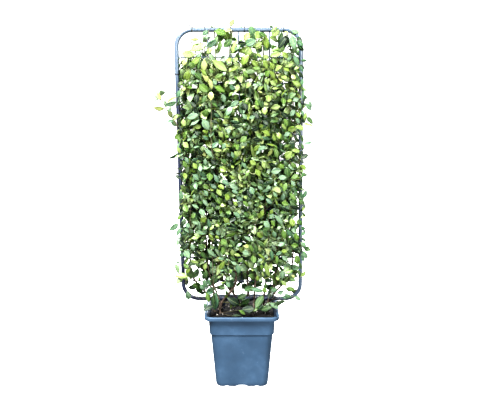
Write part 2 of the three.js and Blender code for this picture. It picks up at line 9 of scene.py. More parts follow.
import bmesh
import bpy
import numpy as np
from bpy.props import FloatProperty, FloatVectorProperty, IntProperty, PointerProperty
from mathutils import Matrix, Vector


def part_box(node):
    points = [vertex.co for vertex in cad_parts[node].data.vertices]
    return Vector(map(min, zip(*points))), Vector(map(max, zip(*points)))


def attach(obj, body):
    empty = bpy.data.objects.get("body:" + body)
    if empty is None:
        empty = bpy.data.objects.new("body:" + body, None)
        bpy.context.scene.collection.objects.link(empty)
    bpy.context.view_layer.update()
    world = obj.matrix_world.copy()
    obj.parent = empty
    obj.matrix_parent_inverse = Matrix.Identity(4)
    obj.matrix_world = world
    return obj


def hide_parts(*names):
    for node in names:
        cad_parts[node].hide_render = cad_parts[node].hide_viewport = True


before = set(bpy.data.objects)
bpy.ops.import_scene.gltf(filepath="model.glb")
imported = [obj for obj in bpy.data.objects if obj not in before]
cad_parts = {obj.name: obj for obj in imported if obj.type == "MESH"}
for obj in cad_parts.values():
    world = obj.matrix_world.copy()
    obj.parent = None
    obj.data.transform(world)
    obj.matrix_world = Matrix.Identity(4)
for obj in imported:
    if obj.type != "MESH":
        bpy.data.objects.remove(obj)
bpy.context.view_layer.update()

bl_info = {
    "name": "Potted Star Jasmine",
    "version": (1, 0, 0),
    "blender": (4, 5, 0),
    "location": "View3D > Sidebar > Jasmine",
    "description": "Builds a trellised star jasmine in its nursery pot, piece by piece",
    "category": "Add Mesh",
}

MM = 0.001
TAU = 2 * math.pi


def node_box(name):
    """Lowest and highest corner of a frame node in millimetres."""
    low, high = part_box(name)
    return np.array(low) / MM, np.array(high) / MM


POT_HIGH = node_box("pot")[1]
LOOP_LOW, LOOP_HIGH = node_box("trellis_frame")

# Pot
RIM_HALF = float(POT_HIGH[0])
POT_HEIGHT = float(POT_HIGH[2])
RIM_BAND = 17
RIM_FLANGE = 16
LIP_CREST = 5
LIP_SLOPE = 14
LIP_DROP = 5
LIP_THICK = 6
WALL = 3
STEP_HEIGHT = 229
STEP_HALF = 125
STEP_INWARD = 5
BASE_HALF = 106
TOP_CORNER = 35
WALL_CORNER = 29
BASE_CORNER = 26
FOOT_LIFT = 11
FOOT_INSET = 5
FOOT_WIDTH = 7
PAD_HALF = 52
ARCHES = [(0, 60, 9), (-61, 24, 5), (61, 24, 5)]
ARCH_BELL = [(1, -0.22), (0.86, 0.06), (0.78, 0.3), (0.66, 0.62), (0.47, 0.88), (0.34, 0.96), (0.2, 1)]
ARCH_DEPTH = 24
DRAIN_RADIUS = 7
DRAIN_RING = 74
DRAIN_HOLES = 8
# Inset from the rim and drop from the top of the painted shade inside the pot
SHADE_IN = 11
SHADE_DOWN = 14

# Soil
SOIL_TOP = 297
MOUND = [(0, 5), (30, 5), (70, 3.5), (106, 0), (131, -4)]
FIT_GAP = 0.35
SOIL_GRAIN = [(0.9, (16, 1)), (0.7, (6, 2)), (0.35, (2.6, 3))]
CHIP_REACH = 122
CHIP_SIZES = (0.7, 7)
CHIP_TALLEST = 3
GRIT_SHARE = 0.16
HOLE_FLOOR = float(node_box("vine_01")[0][2]) - 2

# Trellis
FRAME_BOTTOM = float(LOOP_LOW[2])
FRAME_TOP = float(LOOP_HIGH[2])
FRAME_HALF = 250
LEAN = 0.0105
TUBE = 16
FRAME_CORNER = 72
WIRE = 5
WIRE_PLANE = 2.7
UPRIGHT_X = [-120, 0, 120]
CROSS_LOWEST = 417
CROSS_PITCH = 100.5
CROSS_WIRES = 10
LEG_X = 76
LEG = 12
WELD = 0.6
TIE_RADIUS = 1.15

# Plant
STEM_TIP_RADIUS = 1.5
WEAVE = 11
WEAVE_AT_TUBE = 15
WANDER = 6
SHOOT_STEPS = 4
SHOOT_RADIUS = 1.7
LEAF_SLIM = 0.49
LEAF_SAG = 0.036
LEAF_DEEP = 0.054
FRAME_LEAVES = (58, 75)
FRAME_LEAF_TRIM = 0.86
LEAF_CLEARANCE = 0.4
LEAF_TRIES = 8
LEAF_FACING = 1.2
LEAF_LOWEST = -50
LEAF_STEEPEST = 60
LEAF_CRAMPED = 0.86
FIRST_LEAFY = 4
STEM_PAIRS = [0.28, 0.76]
SHOOT_PAIRS = [0.6]

# One row for each main stem: where it leaves the soil, the height over which it fans out to its lane, the
# lane, tip height, root radius, the side of the wires that it starts on (-1 in front) and the phase of its
# wander.
STEM_KEYS = ("x", "y", "fan", "lane", "tip", "radius", "side", "turn")
STEMS = [
    dict(zip(STEM_KEYS, row))
    for row in [
        (-112, -34, 170, -209, 1312, 3.6, -1, 0.2),
        (-96, 40, 170, -165, 1352, 3.2, 1, 1.1),
        (-88, -70, 170, -138, 1402, 3.4, -1, 2.3),
        (-10, 34, 150, -92, 1436, 4.0, 1, 0.7),
        (-92, -24, 120, -30, 1430, 5.4, -1, 1.8),
        (22, 44, 170, 30, 1400, 4.6, 1, 2.9),
        (48, -46, 170, 66, 1416, 3.6, -1, 0.4),
        (90, 30, 170, 101, 1396, 4.2, 1, 1.5),
        (102, -38, 170, 152, 1420, 3.4, -1, 2.6),
        (114, 50, 170, 205, 1392, 3.4, 1, 1.0),
    ]
]

# One row for each side shoot of the frame: its stem, the height it leaves it, the point it bends by, its tip,
# its pairs of leaves and their size against a stem's.
SHOOT_KEYS = ("stem", "from", "by", "to", "pairs", "leaf")
SHOOTS = [
    dict(zip(SHOOT_KEYS, row))
    for row in [
        (0, 994, (-236, -24, 1040), (-326, -30, 1196), 5, 0.68),
        (0, 592, (-226, -30, 600), (-248, -40, 640), 2, 0.85),
        (0, 442, (-226, -32, 440), (-260, -44, 462), 2, 0.85),
        (1, 391, (-180, 30, 380), (-226, 44, 372), 2, 0.8),
        (1, 331, (-140, 44, 348), (-166, 52, 338), 1, 1),
        (2, 331, (-112, -74, 350), (-118, -98, 338), 1, 1),
        (4, 331, (-30, -70, 350), (-4, -92, 342), 1, 1),
        (6, 331, (66, -80, 346), (52, -112, 330), 1, 1),
        (8, 331, (124, -60, 346), (128, -92, 334), 1, 1),
        (9, 391, (206, 34, 372), (236, 44, 356), 2, 0.8),
        (9, 494, (236, 34, 506), (262, 40, 556), 2, 0.8),
        (9, 1146, (226, 32, 1206), (254, 36, 1132), 3, 0.8),
    ]
]

# One row for each tie: its frame node, the point of the tube's middle line it holds and the end of its tail.
TIES = [
    ("tie_top_1", (-180, 0, 1425), (-206, -6, 1452)),
    ("tie_top_2", (-130, 0, 1425), (-146, -8, 1450)),
    ("tie_top_3", (-31, 0, 1425), (-24, -10, 1446)),
    ("tie_top_4", (23, 0, 1425), (22, -6, 1446)),
    ("tie_top_5", (175, 0, 1425), (168, -4, 1458)),
    ("tie_left_1", (-242, 0, 1256), (-262, -6, 1264)),
    ("tie_left_2", (-242, 0, 1182), (-268, -6, 1196)),
    ("tie_left_3", (-242, 0, 886), (-262, -8, 880)),
    ("tie_right_1", (242, 0, 1284), (262, -6, 1296)),
]


def colour_choice(name, description, default):
    """A colour among the settings, in linear red, green and blue."""
    return FloatVectorProperty(
        name=name, description=description, subtype="COLOR", default=default, min=0, max=1,
    )


class JasminePotSettings(bpy.types.PropertyGroup):
    plastic: colour_choice("Plastic", "Colour of the moulded pot", (0.053, 0.090, 0.136))
    sheen_roughness: FloatProperty(
        name="Roughness", description="Roughness of the moulded surface", default=0.42, min=0, max=1,
        subtype="FACTOR",
    )
    corner_columns: IntProperty(
        name="Corner columns", description="Columns of faces round each corner of the pot", default=10, min=3,
    )


class JasmineSoilSettings(bpy.types.PropertyGroup):
    crumb_height: FloatProperty(
        name="Crumb height", description="How far the crumbs of the soil stand up", default=0.005,
        unit="LENGTH", min=0,
    )
    chip_count: IntProperty(
        name="Chips", description="Pieces of bark and pale grit lying on the soil", default=420, min=0,
    )


class JasmineTrellisSettings(bpy.types.PropertyGroup):
    coating: colour_choice("Coating", "Colour of the powder coat on the tube", (0.020, 0.027, 0.052))
    tube_sides: IntProperty(name="Tube sides", description="Faces round the tube", default=24, min=8)


class JasminePlantSettings(bpy.types.PropertyGroup):
    leaf_short: FloatProperty(
        name="Shortest leaf", description="Length of the shortest leaf on a twig", default=0.029,
        unit="LENGTH",
    )
    leaf_long: FloatProperty(
        name="Longest leaf", description="Length of the longest leaf on a twig", default=0.054, unit="LENGTH",
    )
    twig_spacing: FloatProperty(
        name="Twig spacing", description="Height between side twigs along a main stem", default=0.015,
        unit="LENGTH", min=0.01,
    )
    old_leaf: colour_choice("Old leaf", "Colour of the oldest leaves", (0.011, 0.024, 0.015))
    young_leaf: colour_choice("Young leaf", "Colour of the youngest leaves", (0.150, 0.195, 0.078))


class JasmineStudioSettings(bpy.types.PropertyGroup):
    sky: FloatProperty(name="Sky", description="Strength of the white surround", default=1.0, min=0)
    key_power: FloatProperty(
        name="Key light", description="Power of the soft light at the upper left", default=430, unit="POWER",
    )
    floor_glow: FloatProperty(
        name="Floor glow", description="Light that the pale floor gives of itself", default=0.85, min=0,
    )
    lens: FloatProperty(
        name="Lens", description="Focal length on a 36 mm wide sensor", default=46.4, unit="CAMERA",
    )


def leaned(points):
    """Slides points to the left in step with their height above the trellis's bottom tube, as it stands a
    little out of plumb."""
    moved = np.array(points, dtype=float)
    moved[:, 0] -= LEAN * np.maximum(moved[:, 2] - FRAME_BOTTOM, 0)
    return moved


def put_mesh(name, points, faces, material, *, uv=None, tones=None, smooth=True):
    """Makes a piece from points in millimetres and faces as rows of vertex numbers."""
    mesh = bpy.data.meshes.new(name)
    mesh.from_pydata((np.asarray(points) * MM).tolist(), [], [list(map(int, face)) for face in faces])
    mesh.update()
    if uv is not None:
        layer = mesh.uv_layers.new(name="UVMap")
        corner = np.empty(len(mesh.loops), dtype=np.int32)
        mesh.loops.foreach_get("vertex_index", corner)
        layer.data.foreach_set("uv", np.asarray(uv, dtype=np.float32)[corner].ravel())
    if tones is not None:
        colour = mesh.color_attributes.new("growth", "FLOAT_COLOR", "POINT")
        colour.data.foreach_set("color", np.asarray(tones, dtype=np.float32).ravel())
    mesh.shade_smooth() if smooth else mesh.shade_flat()
    mesh.materials.append(material)
    piece = bpy.data.objects.new(name, mesh)
    bpy.context.scene.collection.objects.link(piece)
    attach(piece, "root")
    return piece


def ring_faces(rings, columns, *, capped=True, first=0, closed_rings=False):
    """Quads between closed rings of points, laid out ring after ring, with a face on each open end."""
    ring = np.arange(rings if closed_rings else rings - 1)[:, None]
    column = np.arange(columns)[None, :]
    after = (column + 1) % columns
    above = (ring + 1) % rings
    quads = np.stack([
        ring * columns + column, ring * columns + after, above * columns + after, above * columns + column,
    ], axis=-1).reshape(-1, 4) + first
    faces = quads.tolist()
    if capped and not closed_rings:
        faces.append((first + np.arange(columns)[::-1]).tolist())
        faces.append((first + (rings - 1) * columns + np.arange(columns)).tolist())
    return faces


def carried_frames(points):
    """Heading and two cross directions at each point of a path, carried along it without twisting."""
    points = np.asarray(points, dtype=float)
    heading = np.gradient(points, axis=0)
    heading /= np.linalg.norm(heading, axis=1, keepdims=True)
    level = abs(points[1, 0] - points[0, 0]) > abs(points[1, 2] - points[0, 2])
    across = np.array([0.0, 0.0, 1.0]) if level else np.array([1.0, 0.0, 0.0])
    first = np.empty_like(points)
    for i, direction in enumerate(heading):
        across = across - across.dot(direction) * direction
        across = across / np.linalg.norm(across)
        first[i] = across
    return heading, first, np.cross(heading, first)


def tube_rings(points, radii, sides):
    """A round section carried along a path: point plus radius times (cos a across + sin a second)."""
    points = np.asarray(points, dtype=float)
    _, across, second = carried_frames(points)
    angle = np.arange(sides) / sides * TAU
    reach = np.asarray(radii, dtype=float)[:, None, None]
    rings = points[:, None] + reach * (
        np.cos(angle)[None, :, None] * across[:, None] + np.sin(angle)[None, :, None] * second[:, None]
    )
    return rings.reshape(-1, 3)


def smooth_step(low, high, value):
    """0 below low and 1 above high, with 3 s squared minus 2 s cubed between them."""
    share = np.clip((np.asarray(value, dtype=float) - low) / (high - low), 0, 1)
    return share * share * (3 - 2 * share)


def mix(low, high, share):
    """The value that lies the given share of the way from low to high."""
    return (1 - share) * low + share * high


def bezier(start, by, end, count):
    """Points of a curve from start to end, drawn towards the point by: a quadratic Bezier curve."""
    share = np.linspace(0, 1, count)[:, None]
    return (1 - share) ** 2 * start + 2 * share * (1 - share) * by + share ** 2 * end


def value_noise(points, cell, seed):
    """Smooth noise from -1 to 1: random numbers at the corners of cubes, blended by a smooth step."""
    scaled = np.asarray(points, dtype=float) / cell + 1000.5
    corner = np.floor(scaled).astype(np.int64)
    part = scaled - corner
    part = part * part * (3 - 2 * part)
    total = np.zeros(scaled.shape[:-1])
    for step in np.ndindex(2, 2, 2):
        at = corner + np.array(step)
        mixed = (at[..., 0] * 73856093) ^ (at[..., 1] * 19349663) ^ (at[..., 2] * 83492791)
        mixed ^= seed * 2654435761
        mixed = (mixed * 1103515245 + 12345) & 0x7FFFFFFF
        mixed = (mixed ^ (mixed >> 13)) * 1274126177 & 0x7FFFFFFF
        weight = np.prod(np.where(np.array(step) == 1, part, 1 - part), axis=-1)
        total += weight * (mixed / 0x7FFFFFFF * 2 - 1)
    return total


class Shades:
    """Short ways to add shader nodes to one new material, or to one new world."""

    def __init__(self, name, kind="materials"):
        self.owner = getattr(bpy.data, kind).new(name)
        self.owner.use_nodes = True
        self.nodes, self.links = self.owner.node_tree.nodes, self.owner.node_tree.links

    def add(self, kind, inputs=None, **settings):
        """A new node with its settings, its inputs linked from sockets or set to values."""
        node = self.nodes.new(kind)
        for key, value in settings.items():
            setattr(node, key, value)
        for key, value in (inputs or {}).items():
            self.give(node.inputs[key], value)
        return node

    def give(self, socket, value):
        if isinstance(value, bpy.types.NodeSocket):
            self.links.new(value, socket)
        else:
            socket.default_value = value

    def place(self):
        return self.add("ShaderNodeTexCoord").outputs["Object"]

    def axes(self, vector):
        return self.add("ShaderNodeSeparateXYZ", {"Vector": vector}).outputs

    def growth(self):
        """The three channels of the piece's own colour attribute."""
        colour = self.add("ShaderNodeAttribute", attribute_name="growth").outputs["Color"]
        return self.add("ShaderNodeSeparateColor", {"Color": colour}).outputs

    def noise(self, scale, detail=3.0, roughness=0.5, vector=None):
        inputs = {"Scale": scale, "Detail": detail, "Roughness": roughness, "Vector": vector or self.place()}
        return self.add("ShaderNodeTexNoise", inputs).outputs["Fac"]

    def math(self, operation, first, second=0.0, third=0.0):
        node = self.add("ShaderNodeMath", operation=operation)
        for socket, value in zip(node.inputs, (first, second, third)):
            self.give(socket, value)
        return node.outputs[0]

    def times(self, first, second):
        return self.math("MULTIPLY", first, second)

    def ramp(self, factor, stops):
        """A colour read off a row of stops, each a position and a colour."""
        node = self.add("ShaderNodeValToRGB", {"Fac": factor})
        elements = node.color_ramp.elements
        while len(elements) < len(stops):
            elements.new(0.5)
        for element, (position, colour) in zip(elements, stops):
            element.position, element.color = position, (*colour, 1)
        return node.outputs["Color"]

    def blend(self, factor, first, second):
        """Two colours mixed, all first at factor 0 and all second at 1."""
        node = self.add("ShaderNodeMix", data_type="RGBA")
        self.give(node.inputs["Factor"], factor)
        for socket, value in zip((node.inputs[6], node.inputs[7]), (first, second)):
            self.give(socket, (*value, 1) if isinstance(value, tuple) else value)
        return node.outputs[2]

    def spread(self, value, low, high, to_low, to_high):
        inputs = {"Value": value, "From Min": low, "From Max": high, "To Min": to_low, "To Max": to_high}
        return self.add("ShaderNodeMapRange", inputs).outputs["Result"]

    def bump(self, height, strength, distance):
        node = self.add("ShaderNodeBump", {"Height": height, "Strength": strength, "Distance": distance})
        self.links.new(node.outputs[0], self.nodes["Principled BSDF"].inputs["Normal"])

    def finish(self, **sockets):
        for key, value in sockets.items():
            self.give(self.nodes["Principled BSDF"].inputs[key.replace("_", " ")], value)
        return self.owner


def shaded(colour, share):
    """The colour made darker or brighter by a share."""
    return tuple(channel * share for channel in colour)


def moulded_plastic(settings):
    """Slate blue-grey moulded plastic: faint clouding, tiny pits, a few pale scuffs, and painted shade that
    turns the inside of the rim and the top of the inner wall nearly black."""
    s = Shades("moulded pot plastic")
    colour, roughness = tuple(settings.plastic), settings.sheen_roughness
    tone = s.ramp(s.noise(9.0, 4.0, 0.6), [
        (0.3, shaded(colour, 0.82)), (0.55, colour), (0.8, tuple(min(1, c * 1.3 + 0.01) for c in colour)),
    ])
    x, y, z = s.axes(s.place())
    # Painted shade: inside the rim and down the top of the inner wall, the plastic is blended three quarters
    # of the way to near-black navy.
    side = s.math("MAXIMUM", s.math("ABSOLUTE", x), s.math("ABSOLUTE", y))
    within = s.math("LESS_THAN", side, (RIM_HALF - SHADE_IN) * MM)
    inside = s.times(within, s.math("GREATER_THAN", z, (POT_HEIGHT - SHADE_DOWN) * MM))
    tone = s.blend(s.times(inside, 0.75), tone, (0.006, 0.010, 0.022))
    scuff = s.math("GREATER_THAN", s.noise(70.0, 5.0, 0.7), 0.67)
    tone = s.blend(s.times(scuff, 0.12), tone, (0.35, 0.42, 0.5))
    rough = s.spread(s.noise(30.0, 4.0), 0.3, 0.7, roughness - 0.07, roughness + 0.12)
    s.bump(s.noise(420.0, 2.0), 0.12, 0.0006)
    return s.finish(Base_Color=tone, Roughness=rough)


def dark_soil():
    """Damp peat and bark: nearly black hollows, brown crumbs and fine grain."""
    s = Shades("peat and bark")
    tone = s.ramp(s.noise(160.0, 6.0, 0.7), [
        (0.30, (0.001, 0.001, 0.001)), (0.5, (0.003, 0.0025, 0.0025)), (0.68, (0.008, 0.007, 0.006)),
        (0.8, (0.02, 0.016, 0.013)),
    ])
    s.bump(s.noise(600.0, 6.0, 0.75), 0.8, 0.0015)
    return s.finish(Base_Color=tone, Roughness=0.92)


def chip_finish():
    """Bark chips and pale grit, one shade to a chip from the piece's own colour attribute."""
    s = Shades("bark and grit")
    tone = s.ramp(s.growth()[0], [
        (0.0, (0.006, 0.005, 0.004)), (0.7, (0.014, 0.012, 0.011)), (0.84, (0.07, 0.056, 0.046)),
        (0.88, (0.62, 0.58, 0.50)), (1.0, (0.85, 0.84, 0.80)),
    ])
    grain = s.noise(900.0, 3.0)
    tone = s.blend(s.times(grain, 0.35), tone, (0.02, 0.015, 0.01))
    s.bump(grain, 0.5, 0.0006)
    return s.finish(Base_Color=tone, Roughness=0.85)


def powder_coat(settings):
    """Satin anthracite powder coat with a fine orange peel, and painted light that makes it paler towards the
    top and the right.
    """
    s = Shades("powder coat")
    colour = tuple(settings.coating)
    tone = s.ramp(s.noise(14.0, 3.0), [(0.3, shaded(colour, 0.8)), (0.75, shaded(colour, 1.35))])
    # Painted light: the coat blends to pale blue-grey from 1.13 m up and towards the right upright, where the
    # tube looks lit.
    x, _, z = s.axes(s.place())
    pale = s.math("MAXIMUM", s.spread(z, 1.13, 1.27, 0.0, 1.0), s.spread(x, 0.12, 0.24, 0.0, 0.85))
    tone = s.blend(pale, tone, (0.075, 0.102, 0.135))
    rough = s.spread(s.noise(60.0, 3.0), 0.3, 0.7, 0.30, 0.42)
    s.bump(s.noise(700.0, 2.0), 0.08, 0.0004)
    return s.finish(Base_Color=tone, Roughness=rough, Coat_Weight=0.2, Coat_Roughness=0.25)


def tie_finish():
    """Dark plastic skin on a wire tie."""
    s = Shades("tie skin")
    tone = s.ramp(s.noise(120.0, 3.0), [(0.3, (0.010, 0.013, 0.016)), (0.8, (0.035, 0.045, 0.05))])
    s.bump(s.noise(900.0, 2.0), 0.2, 0.0004)
    return s.finish(Base_Color=tone, Roughness=0.5)


def bark():
    """Brown woody stem that turns to green towards its young end, with lengthwise cracks and pale pores."""
    s = Shades("stem bark")
    youth = s.growth()[0]
    stretched = s.add("ShaderNodeMapping", {"Vector": s.place(), "Scale": (1, 1, 0.16)}).outputs[0]
    crack = s.noise(420.0, 5.0, 0.7, stretched)
    woody = s.ramp(crack, [
        (0.32, (0.024, 0.017, 0.014)), (0.5, (0.080, 0.058, 0.044)), (0.72, (0.22, 0.175, 0.14)),
    ])
    green = s.ramp(crack, [(0.3, (0.045, 0.065, 0.018)), (0.7, (0.15, 0.20, 0.06))])
    tone = s.blend(youth, woody, green)
    pores = s.math("GREATER_THAN", s.noise(520.0, 1.0), 0.72)
    tone = s.blend(s.times(pores, 0.35), tone, (0.5, 0.42, 0.33))
    s.bump(crack, 0.5, 0.001)
    return s.finish(Base_Color=tone, Roughness=0.62)


def leaf_finish(settings):
    """Leathery leaf. The colour attribute holds its youth, how far it turns to mint and which face a point is
    on, and the
    UV map runs along the leaf and across it, for the pale midrib, the side veins and the pale edge. The mint
    is partly the leaf's own blue-green and partly painted sheen of the white surround; the pale edge is
    partly a pale margin and partly a painted highlight along the rim."""
    s = Shades("jasmine leaf")
    youth, own, under = s.growth()
    length, width, _ = s.axes(s.add("ShaderNodeUVMap", uv_map="UVMap").outputs[0])
    across = s.math("ABSOLUTE", s.math("MULTIPLY_ADD", width, 2.0, -1.0))
    old, young = tuple(settings.old_leaf), tuple(settings.young_leaf)
    face = s.ramp(youth, [
        (0.0, old), (0.2, (0.030, 0.060, 0.024)), (0.4, (0.056, 0.106, 0.030)),
        (0.52, (0.072, 0.125, 0.030)), (0.64, (0.084, 0.132, 0.030)), (0.8, (0.112, 0.155, 0.036)),
        (0.93, young), (1.0, (0.23, 0.245, 0.105)),
    ])
    # Painted sheen: the mint ramp, blended in by the second colour channel, stands partly for the white
    # surround's reflection on glossy leaves.
    mint = s.ramp(youth, [
        (0.0, (0.016, 0.036, 0.028)), (0.35, (0.062, 0.116, 0.078)), (0.6, (0.084, 0.138, 0.097)),
        (0.85, (0.108, 0.165, 0.120)), (1.0, (0.16, 0.22, 0.16)),
    ])
    tone_with_sheen = s.blend(s.spread(own, 0.3, 0.95, 0.0, 0.85), face, mint)
    mottle = s.noise(130.0, 4.0)
    face = s.blend(s.spread(mottle, 0.35, 0.7, 0.0, 0.25), tone_with_sheen, s.blend(0.45, tone_with_sheen, (0.0, 0.0, 0.0)))
    wave = s.math("SINE", s.times(s.math("SUBTRACT", length, s.times(across, 0.16)), 58.0))
    vein = s.times(s.spread(wave, 0.86, 1.0, 0.0, 1.0), s.spread(across, 0.95, 0.5, 0.0, 0.3))
    midrib = s.spread(across, 0.02, 0.09, 1.0, 0.0)
    # Painted highlight: the pale edge is partly a pale leaf margin and partly a highlight along the leaf's
    # rim.
    edge = s.spread(across, 0.84, 1.0, 0.0, 0.4)
    line = s.math("MAXIMUM", s.math("MAXIMUM", midrib, vein), edge)
    pale = s.blend(0.35, face, (0.55, 0.68, 0.30))
    face = s.blend(s.times(line, 0.6), face, pale)
    back = s.blend(0.35, face, (0.13, 0.20, 0.10))
    tone = s.blend(under, face, back)
    rough = s.spread(under, 0.0, 1.0, 0.43, 0.55)
    s.bump(s.math("ADD", s.times(line, -1.0), s.times(mottle, 0.3)), 0.3, 0.0008)
    return s.finish(
        Base_Color=tone, Roughness=rough, Specular_IOR_Level=0.38, Coat_Weight=0.08, Coat_Roughness=0.3,
        Subsurface_Weight=0.12, Subsurface_Radius=(0.35, 0.6, 0.15), Subsurface_Scale=0.004,
    )


def rounded_outline(half_x, half_y, corner, corner_columns, side_columns):
    """Closed outline of a rounded rectangle for each row of half sides and corner radii: a quarter circle at
    each corner and evenly spaced points along each straight side, anticlockwise from +X."""
    half_x, half_y = np.atleast_1d(half_x)[:, None], np.atleast_1d(half_y)[:, None]
    corner = np.minimum(np.atleast_1d(corner)[:, None], np.minimum(half_x, half_y))
    turn = np.linspace(0, math.pi / 2, corner_columns)
    arcs = []
    for quarter, (sx, sy) in enumerate([(1, 1), (-1, 1), (-1, -1), (1, -1)]):
        angle = quarter * math.pi / 2 + turn
        arcs.append(np.stack([
            sx * (half_x - corner) + corner * np.cos(angle), sy * (half_y - corner) + corner * np.sin(angle),
        ], axis=-1))
    share = np.linspace(0, 1, side_columns + 2)[1:-1, None]
    parts = []
    for arc, after in zip(arcs, arcs[1:] + arcs[:1]):
        parts += [arc, arc[:, -1:] + (after[:, :1] - arc[:, -1:]) * share]
    return np.concatenate(parts, axis=1)


def lofted(section, corner_columns, side_columns):
    """Rows of a section (half side, corner radius and height) as rounded squares one over another."""
    outline = rounded_outline(section[:, 0], section[:, 0], section[:, 1], corner_columns, side_columns)
    height = np.broadcast_to(section[:, 2, None, None], (*outline.shape[:2], 1))
    return np.concatenate([outline, height], axis=-1)


def wall_half(z):
    """Half side of the pot's outer wall at a height: two tapers with a step between them."""
    share = (z - STEP_HEIGHT) / (POT_HEIGHT - STEP_HEIGHT)
    over = mix(STEP_HALF + STEP_INWARD, RIM_HALF - RIM_FLANGE, share)
    return over if z > STEP_HEIGHT else mix(BASE_HALF, STEP_HALF, z / STEP_HEIGHT)


def wall_corner(z):
    """Corner radius of the outer wall, which grows evenly with the height."""
    return mix(BASE_CORNER, WALL_CORNER, z / POT_HEIGHT)


def on_wall(z, inset):
    """Row of the section that lies an inset within the outer wall: half side, corner radius and height."""
    return (wall_half(z) - inset, wall_corner(z) - inset, z)


def eased(profile, cut=1.0):
    """Rounds each bend of a profile: every inner point gives way to three on a curve within cut of it."""
    rows = [profile[0]]
    for before, here, after in zip(profile, profile[1:], profile[2:]):
        before, here, after = map(np.array, (before, here, after))
        to_before, to_after = before - here, after - here
        near = here + to_before * min(cut / max(np.linalg.norm(to_before), 1e-6), 0.45)
        far = here + to_after * min(cut / max(np.linalg.norm(to_after), 1e-6), 0.45)
        rows += [tuple(near), tuple(0.25 * near + 0.5 * here + 0.25 * far), tuple(far)]
    return np.array([*rows, profile[-1]], dtype=float)


def pot_profile():
    """Half side, corner radius and height along the pot's section, from the middle underneath, out over the
    foot, up the wall, round the rolled lip with its open groove and down the inside to the middle of the
    floor."""
    under_rim, under_lip = POT_HEIGHT - RIM_BAND, POT_HEIGHT - LIP_THICK
    floor = FOOT_LIFT + WALL
    foot_outer = BASE_HALF - FOOT_INSET
    foot_inner = foot_outer - FOOT_WIDTH
    rim, top = RIM_HALF, POT_HEIGHT
    return eased([
        (0, 0, 0), (PAD_HALF, BASE_CORNER, 0), (PAD_HALF + 6, BASE_CORNER, FOOT_LIFT),
        (foot_inner - 4, BASE_CORNER - 12, FOOT_LIFT), (foot_inner, BASE_CORNER - 10, 0),
        (foot_outer, BASE_CORNER - 4, 0), (BASE_HALF - 1, BASE_CORNER - 1, 5), on_wall(16, 0),
        on_wall(STEP_HEIGHT - 3, 0), on_wall(STEP_HEIGHT + 2, 0), on_wall(under_lip - WALL, 0),
        (rim - 8, WALL_CORNER + 1, under_lip), (rim - WALL, TOP_CORNER - WALL, under_lip),
        (rim - WALL, TOP_CORNER - WALL, under_rim), (rim - 0.6, TOP_CORNER - 0.6, under_rim),
        (rim, TOP_CORNER, top - 3.5), (rim - LIP_CREST, TOP_CORNER - 3, top),
        (rim - LIP_SLOPE, WALL_CORNER - 1, top - LIP_DROP), on_wall(under_lip - LIP_DROP, WALL),
        on_wall(STEP_HEIGHT + 4, WALL), on_wall(STEP_HEIGHT - 1, WALL), on_wall(floor + 4, WALL + 1),
        (BASE_HALF - 10, BASE_CORNER - 10, floor), (PAD_HALF + 3, BASE_CORNER, floor),
        (PAD_HALF - 3, BASE_CORNER - 3, WALL), (0, 0, WALL),
    ], 1.3)


def cut_away(piece, outlines, shift):
    """Cuts prisms out of a piece with a boolean, and applies it. Each prism is a closed outline and the same
    outline moved by its shift."""
    points, faces, first = [], [], 0
    for outline, move in zip(outlines, shift):
        points += [outline, outline + move]
        faces += ring_faces(2, len(outline), first=first)
        first += 2 * len(outline)
    cutter_mesh = bpy.data.meshes.new("cutter")
    cutter_mesh.from_pydata((np.concatenate(points) * MM).tolist(), [], faces)
    cutter = bpy.data.objects.new("cutter", cutter_mesh)
    bpy.context.scene.collection.objects.link(cutter)
    outward(cutter)
    cut = piece.modifiers.new("holes", "BOOLEAN")
    cut.operation, cut.solver, cut.object = "DIFFERENCE", "EXACT", cutter
    bpy.context.view_layer.objects.active = piece
    bpy.ops.object.modifier_apply(modifier=cut.name)
    bpy.data.objects.remove(cutter)
    bpy.data.meshes.remove(cutter_mesh)


def drain_holes():
    """Round outlines under the pot's floor, and how far each is carried up through it."""
    middle = (np.arange(DRAIN_HOLES) + 0.5) * TAU / DRAIN_HOLES
    angle = np.arange(24) / 24 * TAU
    circle = np.column_stack([np.cos(angle), np.sin(angle), 0 * angle]) * DRAIN_RADIUS
    outlines = [circle + (DRAIN_RING * math.cos(a), DRAIN_RING * math.sin(a), FOOT_LIFT - 4) for a in middle]
    return outlines, [np.array([0, 0, WALL + 8])] * DRAIN_HOLES


def foot_arches():
    """Bell-shaped outlines in front of each side's foot, and how far each is carried in through it."""
    bell = np.array(ARCH_BELL)
    outlines, shift = [], []
    for quarter in range(4):
        turn = quarter * TAU / 4
        inward = np.array([-math.sin(turn), math.cos(turn), 0]).round(9)
        sideways = np.array([math.cos(turn), math.sin(turn), 0]).round(9)
        for offset, width, tall in ARCHES:
            share = np.concatenate([bell[:, 0], -bell[::-1, 0]])
            rise = np.concatenate([bell[:, 1], bell[::-1, 1]]) * tall
            start = -inward * (BASE_HALF + FOOT_INSET + 1)
            aside = (offset + share * width / 2)[:, None]
            outlines.append(start + sideways * aside + rise[:, None] * (0, 0, 1))
            shift.append(inward * ARCH_DEPTH)
    return outlines, shift


class JASMINE_OT_pot(bpy.types.Operator):
    """Square nursery pot lofted through rounded squares, with arched notches in its foot and drain holes"""

    bl_idname = "jasmine.pot"
    bl_label = "Nursery Pot"

    def execute(self, context):
        settings = context.scene.jasmine_pot
        points = lofted(pot_profile(), settings.corner_columns, 24)
        faces = ring_faces(*points.shape[:2], capped=False)
        piece = put_mesh(
            "nursery_pot", points.reshape(-1, 3), faces, moulded_plastic(settings),
        )
        outward(piece)
        cut_away(piece, *drain_holes())
        cut_away(piece, *foot_arches())
        outward(piece)
        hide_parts("pot")
        return {"FINISHED"}


